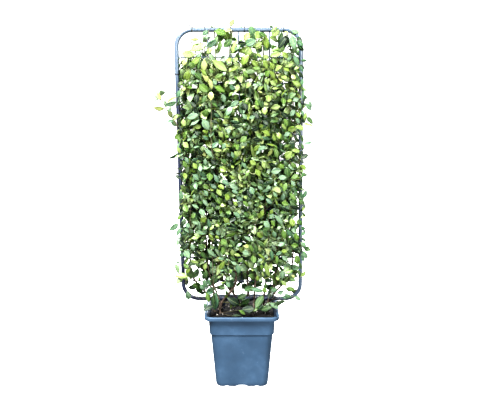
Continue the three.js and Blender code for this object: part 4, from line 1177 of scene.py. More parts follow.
# Leaves that can be told apart in the picture, by tone: the stalk's x and z as seen on the trellis's plane,
# how far the tip lies from it in x and z, and the width
SEEN_LEAVES = {
    "cream": [
        (-199,1347,34,15,30), (-196,1389,29,0,10), (-37,1422,-33,4,18), (31,1413,-21,-28,26),
        (178,1419,-15,-17,18), (-211,1317,-20,-25,22), (-144,1317,-3,-52,26), (-155,1259,29,-35,24),
        (-126,1238,10,-41,20), (-121,1153,1,37,26), (194,1253,17,-15,18), (123,967,-20,-36,13),
        (-159,951,16,-18,16), (4,565,33,-4,18), (202,442,19,-11,12), (-319,1157,-12,30,19),
        (-302,1123,-47,1,14), (-10,902,2,-40,9), (82,1183,-16,11,10),
    ],
    "mint": [
        (-130,1421,-23,-14,16), (-4,1368,-23,-19,20), (16,1368,38,19,32), (206,1334,15,-46,18),
        (-75,1180,9,-35,22), (-44,1131,32,24,20), (-62,1094,24,43,28), (193,1094,18,25,20), (57,939,22,32,18),
        (-77,963,12,24,20), (-195,967,25,8,12), (-253,935,18,12,16), (-198,863,26,-25,24),
        (-246,795,0,-41,20), (-196,759,5,22,14), (35,810,12,-29,24), (81,791,33,6,12), (-258,661,-36,-35,22),
        (-246,641,-23,-32,18), (-228,663,14,-18,20), (129,628,8,-29,20), (148,565,28,13,22),
        (242,607,16,21,16), (250,1141,27,-22,21), (-226,369,1,-35,24), (-157,425,10,-39,22),
        (-66,412,16,-17,20), (-16,489,-1,-43,26), (120,377,25,7,20), (145,362,29,11,20),
        (-255,1151,-46,-18,14), (-235,1144,-24,-5,11), (245,1194,-7,-38,11), (176,362,29,-20,18),
        (-201,1006,32,20,15), (28,1085,26,9,15), (168,1016,27,12,17), (65,961,32,13,18), (-227,933,12,-28,17),
        (-40,953,6,-27,15), (-165,844,30,8,18), (-154,798,18,-27,19), (-1,910,20,-25,19), (65,770,26,-11,17),
        (168,784,-4,-30,20), (-34,705,28,-20,19), (-25,560,26,19,17), (-128,499,5,-30,19), (-99,513,26,-4,13),
        (139,526,30,19,15), (248,575,14,-21,12), (-262,494,-19,-3,6),
    ],
    "palemint": [
        (-126,1409,-14,-20,16), (-104,1436,10,24,12), (194,1407,14,-56,28), (190,1422,33,-9,16),
        (-198,1269,23,-16,16), (-77,1250,16,15,16), (-100,1215,-10,23,18), (199,1153,27,9,20),
        (213,1086,20,-20,20), (-217,1086,48,12,26), (-205,1055,36,27,26), (-157,1082,27,-43,36),
        (-50,1047,-3,-24,18), (-149,963,38,-34,24), (-166,899,0,-24,22), (-189,826,8,-20,22),
        (117,871,42,8,26), (146,848,36,-2,22), (198,836,16,-22,20), (126,789,20,-20,18), (-168,721,14,-24,26),
        (-209,573,14,-27,20), (-236,546,22,-27,28), (-127,531,24,-12,16), (133,695,37,-42,24),
        (90,670,23,-25,26), (0,540,29,-5,22), (242,582,21,-21,18), (246,548,21,-36,22), (262,1153,16,-24,14),
        (165,461,5,-38,22), (216,351,31,-19,18), (-290,1108,12,23,10), (-248,989,-11,-30,11),
        (-215,549,-21,-30,19), (-229,374,13,-34,19), (225,1148,11,-27,15), (82,1154,1,-30,8),
        (3,1103,19,-23,16), (-146,926,-1,-28,17), (-124,886,18,6,12), (-158,759,22,-29,19),
        (-203,738,31,-16,16), (-48,815,35,-15,20), (97,832,34,3,7), (97,803,22,8,16), (173,743,24,-26,23),
        (155,961,20,-15,7), (64,814,21,-15,16), (-178,671,4,-40,18), (-201,667,24,-11,15),
        (-107,634,15,-25,17), (-74,655,37,4,9), (-141,551,31,-29,19), (-17,512,22,-16,18), (28,664,31,11,9),
        (8,605,34,-20,17), (164,524,26,-21,20), (-242,547,-15,6,8), (-254,492,-18,9,7), (-59,1293,19,8,12),
        (42,1210,21,11,12), (67,1248,19,11,13),
    ],
    "deepmint": [
        (-138,1360,41,26,24), (215,1383,22,-19,22), (230,1311,25,-4,11), (-48,1211,22,-12,20),
        (-270,1072,-26,2,11), (-251,949,-40,-26,12), (247,765,14,30,18), (-257,523,19,12,20),
        (248,979,30,14,9), (-174,403,18,-23,20), (-139,425,6,-30,16), (37,382,50,-13,16), (166,345,35,6,16),
        (-242,1197,-11,-31,17), (-233,931,-23,-1,17), (-222,620,-26,-10,14), (242,1244,-9,-35,12),
        (237,1119,7,-29,13), (-109,1107,20,-21,16), (-44,1074,40,-8,15), (-156,1016,23,-18,16),
        (-120,966,30,28,20), (80,1011,33,-13,16), (-201,917,30,7,15), (-169,872,26,-22,20),
        (-113,864,19,-40,19), (-129,824,28,-21,20), (-81,836,31,-15,19), (-40,797,25,-13,16),
        (-24,770,29,-15,17), (81,821,43,6,15), (97,762,26,-20,20), (-138,680,9,-40,16), (121,550,3,-46,18),
        (183,636,23,-36,21), (204,557,35,-10,13), (230,1289,11,-24,12), (240,791,9,-35,11),
        (243,649,14,-25,13), (243,529,12,-32,11), (-245,1158,-14,-29,11), (-253,973,11,-26,12),
    ],
    "pale": [
        (-136,1336,25,19,24), (-45,1439,15,25,16), (-19,1387,-20,-51,24), (37,1360,-20,-38,28),
        (70,1419,-14,-27,28), (80,1379,-26,-21,16), (145,1428,-27,-26,26), (154,1337,-43,-11,22),
        (-117,1311,64,-42,32), (17,1203,20,20,22), (92,1238,14,-23,18), (131,1269,23,19,28),
        (154,1253,20,-15,24), (170,1284,35,19,22), (111,1230,28,-15,22), (119,1199,32,6,16),
        (104,1176,2,-25,26), (114,1125,41,8,22), (27,1110,4,35,10), (160,1063,16,-24,18),
        (212,1053,35,-10,26), (37,979,12,-52,16), (173,927,26,26,30), (199,959,34,-6,24),
        (-270,1076,18,24,16), (-232,1082,5,-29,22), (-234,991,22,-22,24), (-256,971,11,-26,15),
        (-92,1033,17,-26,20), (-115,961,36,-6,16), (-107,949,18,-16,12), (-29,955,16,-24,18),
        (-100,802,16,-27,24), (-76,856,21,7,16), (83,913,12,-28,22), (7,773,14,-12,14), (-132,630,18,23,16),
        (-110,657,19,-8,16), (-208,597,32,6,18), (-41,552,4,-33,20), (-33,529,29,-4,16), (242,715,12,11,16),
        (240,684,15,6,12), (256,1108,-12,-42,17), (243,1063,41,-6,14), (-219,433,-60,9,28),
        (-146,493,-11,-30,20), (-100,403,29,9,8), (-214,504,35,-9,14), (99,493,11,-62,22), (83,455,8,-22,12),
        (35,467,15,-8,10), (141,433,12,-10,14), (161,416,25,-19,18), (244,435,20,22,16),
        (-253,1168,-44,-19,15), (-206,776,15,24,7), (-94,579,2,-33,8), (90,576,17,19,12), (-35,1305,22,12,16),
        (-68,1212,17,21,14), (-1,1224,16,-19,15), (136,1181,20,12,12), (188,1205,20,-10,12),
        (58,1335,20,-12,15), (206,1274,21,12,15),
    ],
    "fresh": [
        (-106,1419,47,-10,34), (-184,1280,-17,19,22), (90,1223,8,-35,14), (165,1164,-2,-23,22),
        (57,1023,24,-16,18), (-7,991,28,20,24), (129,971,16,-46,22), (-149,1092,12,26,26),
        (-259,1017,17,-30,16), (-31,1037,2,-30,16), (-235,915,15,-28,20), (-128,867,0,-27,28),
        (-109,765,24,-25,20), (198,844,32,15,20), (170,789,8,39,22), (3,752,26,-22,20), (-235,736,16,-25,26),
        (-86,592,21,-12,28), (-241,489,22,-17,20), (170,636,2,-42,24), (-56,450,15,15,16), (-16,497,20,17,16),
        (45,527,4,-30,26), (146,523,-4,-34,16), (222,523,5,-38,18), (182,388,34,-15,20), (-243,936,-26,-2,13),
        (-220,516,-18,-27,16), (224,529,11,-42,19), (190,389,30,-15,19), (-90,1001,12,-26,16),
        (-161,819,29,-18,17), (15,852,16,28,18), (193,784,25,-29,23), (196,913,23,-27,17), (198,808,23,24,19),
        (-208,681,19,19,19), (-72,566,-9,-37,21), (0,652,34,9,15), (32,571,14,-33,17), (-112,1259,-13,19,14),
    ],
    "green": [
        (-36,1390,-32,-30,26), (70,1417,17,-21,22), (157,1422,-11,-49,18), (-162,1315,-8,-42,16),
        (-184,1261,29,-27,26), (-136,1176,-22,-31,20), (213,1257,16,-34,16), (135,1209,24,10,12),
        (112,1072,32,2,20), (112,1090,36,16,16), (181,891,7,-45,26), (-180,571,28,-17,24), (86,632,25,9,20),
        (51,578,13,-47,18), (256,1089,28,-23,19), (-149,463,2,-36,18), (-95,397,24,-7,22), (196,425,23,0,22),
        (95,408,4,-26,18), (233,1020,12,-29,14), (229,757,27,-24,22), (230,680,15,-29,15),
        (233,499,14,-34,13), (229,464,14,-28,15), (198,438,18,-24,19), (-117,1145,25,-16,16),
        (-116,1036,26,24,21), (66,1162,13,-37,16), (0,1053,27,13,16), (-85,922,25,-17,20),
        (-210,815,26,-15,20), (-125,787,21,-27,17), (-182,754,25,-15,15), (-48,824,29,15,13),
        (80,868,27,-18,15), (36,828,26,-17,17), (194,754,27,-24,22), (-161,633,24,17,19), (-50,592,23,-33,19),
        (-167,544,17,-37,18), (-50,519,27,-15,18), (-75,473,18,-29,16), (4,706,27,-21,20), (44,709,15,-25,19),
        (20,639,26,11,17), (85,625,23,-20,16), (69,579,23,-16,16), (142,635,23,15,17), (233,1211,13,-23,12),
        (236,987,11,-28,12), (246,707,12,-21,10), (-200,1216,22,19,12),
    ],
    "leek": [
        (-83,1385,-5,-42,15), (143,1437,-31,-20,14), (152,1356,-39,-11,20), (-167,1219,35,-33,32),
        (-108,1211,45,-23,28), (-108,1240,35,21,16), (-30,1250,16,-16,16), (6,1267,21,-25,16),
        (41,1280,35,-2,16), (94,1246,13,23,22), (213,1280,16,-23,16), (57,1157,8,-22,20),
        (168,1082,18,-27,20), (-217,1035,-17,-28,20), (-66,1015,15,-4,14), (-23,989,4,-28,24),
        (191,736,-30,12,20), (221,620,4,-34,22), (201,569,31,-4,22), (224,674,13,-21,16), (-178,433,4,-17,12),
        (82,489,1,-30,16), (176,448,34,15,18), (83,386,21,-15,20), (-243,695,-21,-20,15), (-71,1089,25,3,12),
        (-114,1025,6,-27,12), (51,1197,16,-33,11), (134,1188,16,-17,12), (168,970,29,10,12),
        (131,981,10,-24,12), (-13,784,19,14,13), (4,825,18,11,15), (152,902,19,-17,17), (-66,606,43,12,11),
        (27,681,23,10,16), (65,635,22,17,11), (118,671,18,-24,19), (239,1201,15,-8,7), (-220,1210,27,-9,16),
        (-32,1187,-20,-17,15), (137,1297,-17,19,16),
    ],
    "deep": [
        (-14,1373,31,-1,26), (178,1406,-36,-50,28), (180,1402,-13,-47,16), (211,1396,24,-13,18),
        (218,1370,23,-25,18), (-189,1324,-20,-21,8), (-39,1334,-8,-14,12), (216,1043,14,-22,24),
        (-243,844,-26,12,12), (235,927,31,13,20), (-258,586,25,-21,20), (-235,1170,-21,-15,13),
        (-238,1039,-16,-16,16), (-232,895,-19,-18,13), (-238,870,-31,-9,8), (-233,736,-24,-8,13),
        (-237,709,-23,-14,9), (-240,670,-8,-29,13), (-219,573,-26,-21,18), (229,1294,17,-18,10),
        (225,1267,17,-26,13), (222,979,21,-18,15), (222,832,20,-26,17), (233,709,25,20,11),
        (239,601,24,-16,11), (232,563,14,-26,15), (-176,1179,-2,-40,22), (-188,1135,14,-33,19),
        (-202,1149,24,-22,16), (-90,1118,22,17,16), (-121,1076,31,-10,13), (-37,1059,35,-11,16),
        (-187,1036,17,-21,14), (5,1146,18,-31,21), (44,1111,25,-30,20), (80,1107,24,-21,16),
        (81,1077,27,-17,19), (116,1154,32,-9,14), (155,1110,30,-22,19), (123,1195,25,-12,12),
        (182,1143,34,-23,11), (188,986,33,9,12), (39,1036,31,15,20), (5,1036,25,-15,16), (43,1005,38,-8,19),
        (-181,936,30,-19,19), (-175,961,21,-18,16), (-124,921,22,-22,17), (-60,949,14,-19,16),
        (-149,825,38,10,16), (-226,807,14,-23,15), (-126,746,23,-21,16), (-77,807,27,-15,16),
        (-58,756,23,-23,20), (-25,730,30,15,20), (108,909,31,-20,17), (60,839,31,-14,16), (21,799,17,-39,19),
        (158,729,26,-19,16), (198,732,35,-11,16), (4,733,22,-23,19), (-119,693,27,-18,17),
        (-123,627,28,15,15), (-70,642,55,-6,14), (-53,668,30,12,16), (-107,588,7,-34,11),
        (-193,551,15,-35,14), (-54,486,18,-20,13), (-191,481,28,-11,9), (245,1163,-5,-45,10),
        (240,1087,8,-21,11), (242,959,-4,-28,11), (235,921,14,-16,11), (234,848,10,-26,10),
        (241,742,19,-18,11), (249,646,13,-11,7), (-252,1219,13,-17,11), (-247,1052,10,-21,11),
        (-247,917,10,-22,10), (-245,758,-8,-22,10), (-243,725,-9,-20,8), (-244,609,-6,-27,11),
        (192,1407,20,2,7),
    ],
    "lime": [
        (33,1360,-43,-19,20), (29,1334,-27,-42,32), (92,1406,7,-53,26), (158,1341,23,-23,20),
        (-201,1288,43,36,24), (-49,1320,2,-24,24), (-12,1284,-39,-13,30), (-216,1232,3,35,28),
        (-161,1276,26,-26,16), (37,1309,27,-21,20), (84,1311,19,-38,20), (111,1303,16,-30,24),
        (111,1269,20,-31,20), (164,1280,22,-11,20), (160,1234,30,6,20), (198,1230,37,-19,22),
        (177,1151,22,4,14), (92,1133,-2,-33,26), (49,1133,24,-10,18), (146,1031,4,-28,22),
        (217,1108,14,-18,18), (81,1035,34,-18,24), (124,1023,11,-28,20), (99,983,34,-6,12),
        (-191,1051,31,2,22), (-156,1037,22,-10,14), (-98,1059,18,-24,14), (-79,951,28,16,14),
        (-195,907,15,-22,20), (-94,818,22,-14,22), (-56,781,-6,-20,24), (-62,738,-31,-6,20),
        (-89,889,26,-14,24), (-49,856,22,-12,14), (-43,899,12,-12,14), (-232,867,9,-21,20),
        (-36,752,20,-20,18), (33,917,24,-18,22), (55,883,20,-29,26), (236,899,22,-18,18), (136,756,11,-24,10),
        (-167,666,21,20,24), (-110,607,18,-10,14), (90,721,-22,-43,20), (126,719,-10,-22,16),
        (200,682,10,-31,26), (58,624,26,-25,22), (162,544,23,0,18), (-72,502,-21,-39,20), (-233,453,18,12,16),
        (62,442,4,-28,16), (-214,473,-18,-28,13), (155,1171,22,29,9), (100,906,36,4,7), (-135,617,18,-20,11),
        (65,533,31,-24,13), (-176,1181,14,25,12), (-95,1256,15,-24,19), (63,1197,23,12,14),
        (83,1328,23,-11,16), (141,1224,-16,19,15),
    ],
}

# Leaves low in the pot: tone, stalk, tip and width. The darker tones among them stand partly for painted
# shade inside the pot.
LOW_LEAVES = [
    ("deepmint", (87, 30, 328), (125, 30, 337), 12),
    ("deepmint", (-103, -78, 394), (-113, -78, 316), 33),
    ("green", (-111, -84, 389), (-117, -84, 328), 10),
    ("leek", (-143, -90, 395), (-129, -90, 354), 19),
    ("deepmint", (-153, -96, 354), (-137, -96, 324), 17),
    ("pale", (-41, -70, 366), (-44, -70, 317), 12),
    ("lime", (-69, -40, 368), (-55, -40, 358), 11),
    ("green", (-67, -40, 390), (-56, -40, 368), 11),
    ("deepgreen", (-20, -30, 348), (20, -30, 369), 26),
    ("deepgreen", (-7, -62, 340), (33, -62, 357), 29),
    ("fresh", (-13, -100, 326), (16, -100, 307), 15),
    ("fresh", (43, -84, 314), (65, -84, 328), 13),
    ("deepmint", (61, -80, 318), (89, -80, 340), 15),
    ("green", (96, -50, 329), (118, -50, 338), 13),
    ("palemint", (111, -84, 352), (150, -84, 324), 21),
    ("deep", (-145, -60, 390), (-167, -60, 384), 15),
    ("deep", (-38, -112, 305), (-2, -112, 311), 7),
]

# Bare twigs that show on their own: radius, depth, and x and z along each
BARE_TWIGS = [
    (1.6, -14, [(-127, 1314), (-143, 1335), (-142, 1356), (-133, 1382), (-127, 1408), (-124, 1434)]),
    (0.8, -16, [(-203, 1318), (-201, 1348), (-194, 1371), (-191, 1401), (-189, 1430), (-189, 1468)]),
    (0.9, -16, [(-41, 1386), (-36, 1408), (-29, 1429)]),
    (0.7, -16, [(-96, 1412), (-86, 1445), (-69, 1469)]),
    (0.7, -20, [(240, 1211), (261, 1180), (272, 1153)]),
    (0.7, -20, [(227, 995), (243, 999), (262, 1003)]),
    (0.7, -20, [(240, 921), (263, 937), (275, 959)]),
    (0.9, -18, [(-230, 869), (-248, 883), (-274, 901)]),
    (0.9, -20, [(-227, 1040), (-243, 1050), (-262, 1075), (-285, 1099)]),
    (0.6, -20, [(-228, 511), (-245, 503), (-286, 499)]),
    (0.6, -20, [(-226, 427), (-238, 414), (-259, 403), (-278, 382)]),
    (1.3, -22, [(-245, 457), (-236, 431), (-222, 402), (-206, 374), (-190, 348)]),
    (1.3, -26, [(4, 462), (12, 441), (22, 407), (30, 377), (33, 351)]),
    (0.7, -26, [(21, 424), (29, 428), (58, 441)]),
    (1.7, -30, [(-138, 489), (-134, 463), (-129, 430), (-120, 381)]),
    (1.2, -30, [(135, 480), (139, 447), (146, 391)]),
    (1.1, -34, [(147, 473), (151, 443), (154, 388)]),
    (1.1, -40, [(-45, 377), (-37, 365), (-16, 335)]),
    (1.5, -62, [(-115, 389), (-117, 473), (-117, 539), (-120, 605)]),
    (1.2, -60, [(-50, 392), (-52, 472), (-55, 539), (-61, 580)]),
    (1.1, -64, [(110, 515), (108, 606), (106, 719)]),
    (0.9, -70, [(49, 615), (53, 652), (59, 692), (65, 721)]),
    (1.2, -66, [(-207, 655), (-203, 720), (-204, 776)]),
    (1.6, -84, [(-114, 959), (-118, 1021), (-115, 1090), (-115, 1147)]),
    (1.0, -80, [(-122, 1300), (-123, 1337), (-124, 1366)]),
    (0.9, -60, [(208, 977), (207, 1012), (208, 1043)]),
    (0.8, -62, [(141, 564), (133, 589), (123, 605)]),
    (0.8, -64, [(-169, 636), (-186, 657), (-201, 669)]),
    (1.0, -60, [(-103, 455), (-103, 497), (-109, 535)]),
]

# Youth of each kind of leaf, and how far its tone is from grass green to mint, a mint that is partly the
# leaf's own blue-green and partly painted sheen
TONES = {
    "cream": (0.98, 0.1), "pale": (0.90, 0.1), "lime": (0.78, 0.1), "leek": (0.56, 0.2),
    "fresh": (0.58, 0.4), "green": (0.27, 0.1), "deepgreen": (0.14, 0.2), "deep": (0.0, 0.3),
    "mint": (0.58, 1.0), "palemint": (0.84, 1.0), "deepmint": (0.34, 1.0),
}
# Depths that a listed leaf is tried at, its gap to others, the part of its box that has to lie clear, and
# the width against its length that can be shown or built
LISTED_DEPTHS = (-58, -66, -50, -74, -82, -90)
LISTED_GAP = 6
LISTED_CORE = (0.9, 0.8, 0.6)
BROADEST_SHOWN = 0.72
BROAD_LIMITS = (0.42, 0.85)


def turned_leaf(start, end, width, tilt_side, tone):
    """A leaf from its stalk to its tip that shows the given width. A narrow one is tilted about its own line,
    a very broad one is longer and leans towards the eye. A dark one hangs turned away from the light."""
    start, end = np.array(start, dtype=float), np.array(end, dtype=float)
    shown = np.linalg.norm(end - start)
    heading = (end - start) / shown
    length = max(shown, width / BROADEST_SHOWN)
    ahead = math.sqrt(max(1 - (shown / length) ** 2, 0))
    heading = heading * (shown / length) + np.array([0, -ahead, 0])
    ratio = width / length
    broad = float(np.clip(ratio * 1.06, *BROAD_LIMITS))
    normal = np.array([0, -1, -0.1 if tone.startswith("deep") else 0.4])
    normal = normal - normal.dot(heading) * heading
    normal /= np.linalg.norm(normal)
    tilt = tilt_side * math.acos(min(ratio / broad, 1))
    normal = normal * math.cos(tilt) + np.cross(heading, normal) * math.sin(tilt)
    return {
        "root": start, "heading": heading, "sideways": np.cross(normal, heading), "normal": normal,
        "length": length, "broad": broad,
    }


def carrying_twig(root, draw):
    """The stem nearest to a leaf's stalk and a thin twig up to it."""
    drop = 14 + 0.5 * abs(root[1])
    tops = np.array([stem["tip"] for stem in STEMS])
    heights = np.clip(root[2] - drop, SOIL_TOP + 8, tops - 12)
    starts = np.array([stem_point(stem, z) for stem, z in zip(STEMS, heights)])
    owner = int(np.argmin(np.linalg.norm(starts - root, axis=1)))
    start = starts[owner]
    by = start + (root - start) * (0.45, 0.75, 0.2) + draw.normal(0, 3, 3)
    return owner, bezier(start, by, root, 6)


def listed_leaves(store, room):
    """The leaves of the lists above, one list for each vine, with the twigs that carry them. Each stands at
    the first depth that is clear of the others."""
    draw = np.random.default_rng(77)
    vines, twigs = [[] for _ in STEMS], [[] for _ in STEMS]
    clear = np.zeros(len(store.owner), dtype=bool)

    def keep(pose, tone):
        youth, own = TONES[tone]
        owner, twig = carrying_twig(pose["root"], draw)
        vines[owner].append({**pose, "youth": youth, "own": own})
        twigs[owner].append(twig)

    seen = [(tone, *row) for tone, rows in SEEN_LEAVES.items() for row in rows]
    for tone, x, z, across, up, width in seen:
        side = draw.choice([-1, 1])
        for depth in LISTED_DEPTHS:
            ends = standing_at((x, z), depth), standing_at((x + across, z + up), depth)
            pose = turned_leaf(*ends, width * (depth - EYE[1]) / -EYE[1], side, tone)
            centre, turned, sizes = leaf_box(pose, 0)
            if store.touched(centre, turned, sizes * LISTED_CORE, clear):
                continue
            if room.take(pose, LISTED_GAP):
                break
        else:
            room.take(pose, 0)
        keep(pose, tone)
    for tone, start, end, width in LOW_LEAVES:
        pose = turned_leaf(start, end, width, draw.choice([-1, 1]), tone)
        room.take(pose, 0)
        keep(pose, tone)
    return vines, twigs


def bare_twigs():
    """Lines and radii of the bare twigs, each joined to the stem nearest to its start, one list for each
    vine."""
    draw = np.random.default_rng(78)
    vines = [[] for _ in STEMS]
    for radius, depth, path in BARE_TWIGS:
        line = np.array([(x + LEAN * max(z - FRAME_BOTTOM, 0), depth, z) for x, z in path], dtype=float)
        owner, lead = carrying_twig(line[0], draw)
        knots = np.vstack([lead[:-1], line])
        share = np.linspace(0, len(knots) - 1, 4 * len(knots))
        fine = np.stack([np.interp(share, np.arange(len(knots)), column) for column in knots.T], axis=-1)
        fine[1:-1] = (fine[:-2] + fine[1:-1] + fine[2:]) / 3
        vines[owner].append((fine, radius))
    return vines


class Screen:
    """The listed leaves as ellipses on the trellis's plane, to keep other leaves from growing in front."""

    def __init__(self, leaves):
        start = seen_at(np.array([leaf["root"] for leaf in leaves]))
        end = seen_at(np.array([leaf["root"] + leaf["heading"] * leaf["length"] for leaf in leaves]))
        self.middle, self.depth = (start + end) / 2, np.array([leaf["root"][1] for leaf in leaves])
        self.reach = np.linalg.norm(end - start, axis=1) / 2 + 0.1
        self.along = (end - start) / (2 * self.reach[:, None])
        self.half = np.array([leaf["length"] * leaf["broad"] / 2 for leaf in leaves])

    def hidden_by(self, points):
        """True where one of the points stands in front of a listed leaf."""
        gap = seen_at(points)[:, None] - self.middle
        along = (gap * self.along).sum(axis=2)
        across = gap[..., 0] * self.along[:, 1] - gap[..., 1] * self.along[:, 0]
        inside = (along / (self.reach + 3)) ** 2 + (across / (self.half + 3)) ** 2 < 1
        return bool((inside & (points[:, 1][:, None] < self.depth + 6)).any())


class LeafRoom:
    """Points along the middle of every grown leaf, to keep the next leaf a little way off them."""

    SHARES = np.array([0.3, 0.62, 0.94])[:, None]

    def __init__(self):
        self.points = np.zeros((0, 3))

    def along(self, pose):
        """Its root, plus its heading times the length times each share."""
        return pose["root"] + pose["heading"] * pose["length"] * self.SHARES

    def take(self, pose, gap):
        """Takes the leaf's place and says True, or says False where another is nearer than the gap."""
        points = self.along(pose)
        if len(self.points):
            low, high = points.min(axis=0) - gap, points.max(axis=0) + gap
            near = self.points[((self.points > low) & (self.points < high)).all(axis=1)]
            if len(near) and np.linalg.norm(near[:, None] - points[None], axis=2).min() < gap:
                return False
        self.points = np.vstack([self.points, points])
        return True


# Growth between the frame's leaves: where twigs start, how far they reach, and the box their ends and the
# tips of their leaves stay in
TWIG_LOWEST = 388
TWIG_REACH = (26, 74)
TWIG_IN_FRONT = 0.55
TWIG_POINTS = 7
TWIG_DEPTH, TWIG_SIDE, TWIG_END_LOWEST = 56, 244, 400
TIP_LOW, TIP_HIGH = (-272, -92, 338), (272, 92, 1458)
LEAF_LENGTHS = (20, 64)
TWIG_LEAF_TRIES = 5
TWIG_LEAF_CORE = (0.84, 0.8, 0.5)
LEAF_GAP = 8.5
LEAF_GAP_LENGTH = 48


def grow_twigs(owner, store, room, screen, spacing, lengths):
    """Thin side twigs that fill the trellis between the main stems. Each leaves its stem upwards and
    outwards, bends up and carries opposite pairs and a tip pair."""
    stem = STEMS[owner]
    draw = np.random.default_rng(100 + owner)
    twigs, leaves = [], []
    z, side = TWIG_LOWEST, 1
    while z < stem["tip"] - 10:
        side = -side
        root = stem_point(stem, z)
        front = -1 if draw.random() < TWIG_IN_FRONT else 1
        reach = draw.uniform(*TWIG_REACH)
        out = np.array([
            side * draw.uniform(0.25, 1.0), front * draw.uniform(0.2, 0.9), draw.uniform(-0.2, 0.8),
        ])
        out *= reach / np.linalg.norm(out)
        end = root + out + np.array([side * 6, 0, draw.uniform(0.0, 0.7) * reach])
        end[1] = np.clip(end[1], -TWIG_DEPTH, TWIG_DEPTH)
        by = root + out * np.array([0.7, 0.9, 0.45])
        line = bezier(root, by, end, TWIG_POINTS)
        z += spacing * draw.uniform(0.7, 1.3)
        sparse = draw.random() > 0.2 + leafiness(end)[0]
        if sparse or abs(end[0]) > TWIG_SIDE or end[2] < TWIG_END_LOWEST:
            continue
        grown = grow_twig_leaves(owner, line, draw, store, room, screen, lengths)
        if grown:
            twigs.append(line)
            leaves += grown
    return twigs, leaves


def grow_twig_leaves(owner, line, draw, store, room, screen, lengths):
    """Pairs of leaves along a twig. Each leaf is tried a few times and left out where it would stick out,
    stand in an open place, hide a listed leaf or touch what is there."""
    grown = []
    size = draw.lognormal(0, 0.16)
    heading, across, second = carried_frames(line)
    kin = draw.normal(0, 1)
    last = len(line) - 1
    for order, i in enumerate(range(1, last + 1)):
        share = i / last
        for half in (0, 1):
            for attempt in range(TWIG_LEAF_TRIES):
                turn = (order * 0.5 + half) * math.pi + draw.uniform(-0.5, 0.5) + 0.4
                out = math.cos(turn) * across[i] + math.sin(turn) * second[i]
                lean = draw.uniform(0.2, 0.9) if i == last else draw.uniform(-0.2, 0.6)
                direction = out * np.array([1.0, 0.6, 1.0]) + heading[i] * lean + np.array([0, 0, -0.1])
                azimuth = math.atan2(direction[1], direction[0])
                rise = math.atan2(direction[2], math.hypot(direction[0], direction[1]))
                length = size * mix(*lengths, draw.random() ** 1.3) * (1 - 0.2 * share)
                length = float(np.clip(length, *LEAF_LENGTHS)) * (0.8 if attempt > 2 else 1)
                facing = draw.uniform(-1.1, 1.1), draw.uniform(0.2, 2.2), draw.uniform(0.1, 1.3)
                pose = leaf_pose(line[i], azimuth, rise, facing[0], length, *facing[1:])
                centre, turned, sizes = leaf_box(pose, 0)
                tip = pose["root"] + pose["heading"] * length
                if (tip < TIP_LOW).any() or (tip > TIP_HIGH).any():
                    continue
                spots = room.along(pose)
                if draw.random() > leafiness(spots[1:]).min() or screen.hidden_by(spots):
                    continue
                skip = (store.owner == owner) | (store.owner >= LEAF_OWNER)
                middle = centre + pose["heading"] * length * 0.06
                if store.touched(middle, turned, sizes * TWIG_LEAF_CORE, skip):
                    continue
                if room.take(pose, LEAF_GAP * length / LEAF_GAP_LENGTH):
                    grown.append({**pose, "tip": share, "kin": kin})
                    break
    return grown


# Shares of a leaf's length at which its section is given
LEAF_STATIONS = np.array([0, 0.1, 0.2, 0.36, 0.54, 0.72, 0.88, 1])
LEAF_RINGS = len(LEAF_STATIONS)
LEAF_ROUND = 8
LEAF_BROAD = 0.57


def leaf_points(leaves, draw):
    """Points of many leaves at once. Each is a flat lens section carried along the blade: the half width is
    an egg-shaped curve that starts in a short stalk and ends in a point, the two halves fold up from the
    midrib, the blade arches down to its tip and its edge ripples a little."""
    count = len(leaves)
    root, heading, sideways, normal, length = (
        np.array([leaf[key] for leaf in leaves])[:, None, None]
        for key in ("root", "heading", "sideways", "normal", "length")
    )
    u = LEAF_STATIONS[None, :, None]
    angle = np.arange(LEAF_ROUND) / LEAF_ROUND * TAU
    across, over = np.cos(angle)[None, None, :], np.sin(angle)[None, None, :]
    slim = LEAF_BROAD * draw.uniform(0.78, 1.14, (count, 1, 1))
    broad = np.array([leaf.get("broad", 0) for leaf in leaves])[:, None, None]
    slim = np.where(broad > 0, broad, slim)
    bulge = draw.uniform(0.74, 1.08, (count, 1, 1))
    blunt = draw.uniform(0.56, 0.85, (count, 1, 1))
    blade = np.clip((u - 0.07) / 0.93, 0, 1)
    width = slim * length / 2 * np.sin(math.pi * blade ** bulge) ** blunt * (1 - 0.10 * blade ** 4)
    stalk = 1.1 * (1 - smooth_step(0.05, 0.2, u)) + 0.15
    width = np.maximum(width, stalk * (1 - 0.7 * smooth_step(0.9, 1, u)))
    thick = 0.32 + 0.75 * (1 - smooth_step(0.02, 0.22, u)) + 0.05
    fold = draw.uniform(0.04, 0.34, (count, 1, 1))
    arch = draw.uniform(0.75, 1.35, (count, 1, 1))
    twist = draw.normal(0, 0.12, (count, 1, 1))
    ripple = draw.uniform(0, 0.05, (count, 1, 1)) * length
    phase = draw.uniform(0, TAU, (count, 1, 1))
    along = u * length
    lift = length * arch * (0.12 * u - 0.21 * u * u)
    lift = lift + fold * width * np.abs(across) ** 1.4 + twist * width * across * u
    wave = ripple * np.sin(u * 11 + phase) * across * np.abs(across)
    lift = lift + wave * width / (length * LEAF_BROAD / 2)
    lift = lift + thick * over
    bend = draw.normal(0, 0.03, (count, 1, 1)) * length * u * u
    points = (
        root + heading * along[..., None] + normal * lift[..., None]
        + sideways * (width * across + bend)[..., None]
    )
    return points, u, across, over


def leaf_faces(count):
    """Faces of that many leaves: rings joined by quads, with both ends closed."""
    one = ring_faces(LEAF_RINGS, LEAF_ROUND)
    quads = np.array(one[:-2])
    caps = np.array(one[-2:])
    step = np.arange(count)[:, None, None] * LEAF_RINGS * LEAF_ROUND
    return (quads[None] + step).reshape(-1, 4).tolist() + (caps[None] + step).reshape(-1, LEAF_ROUND).tolist()


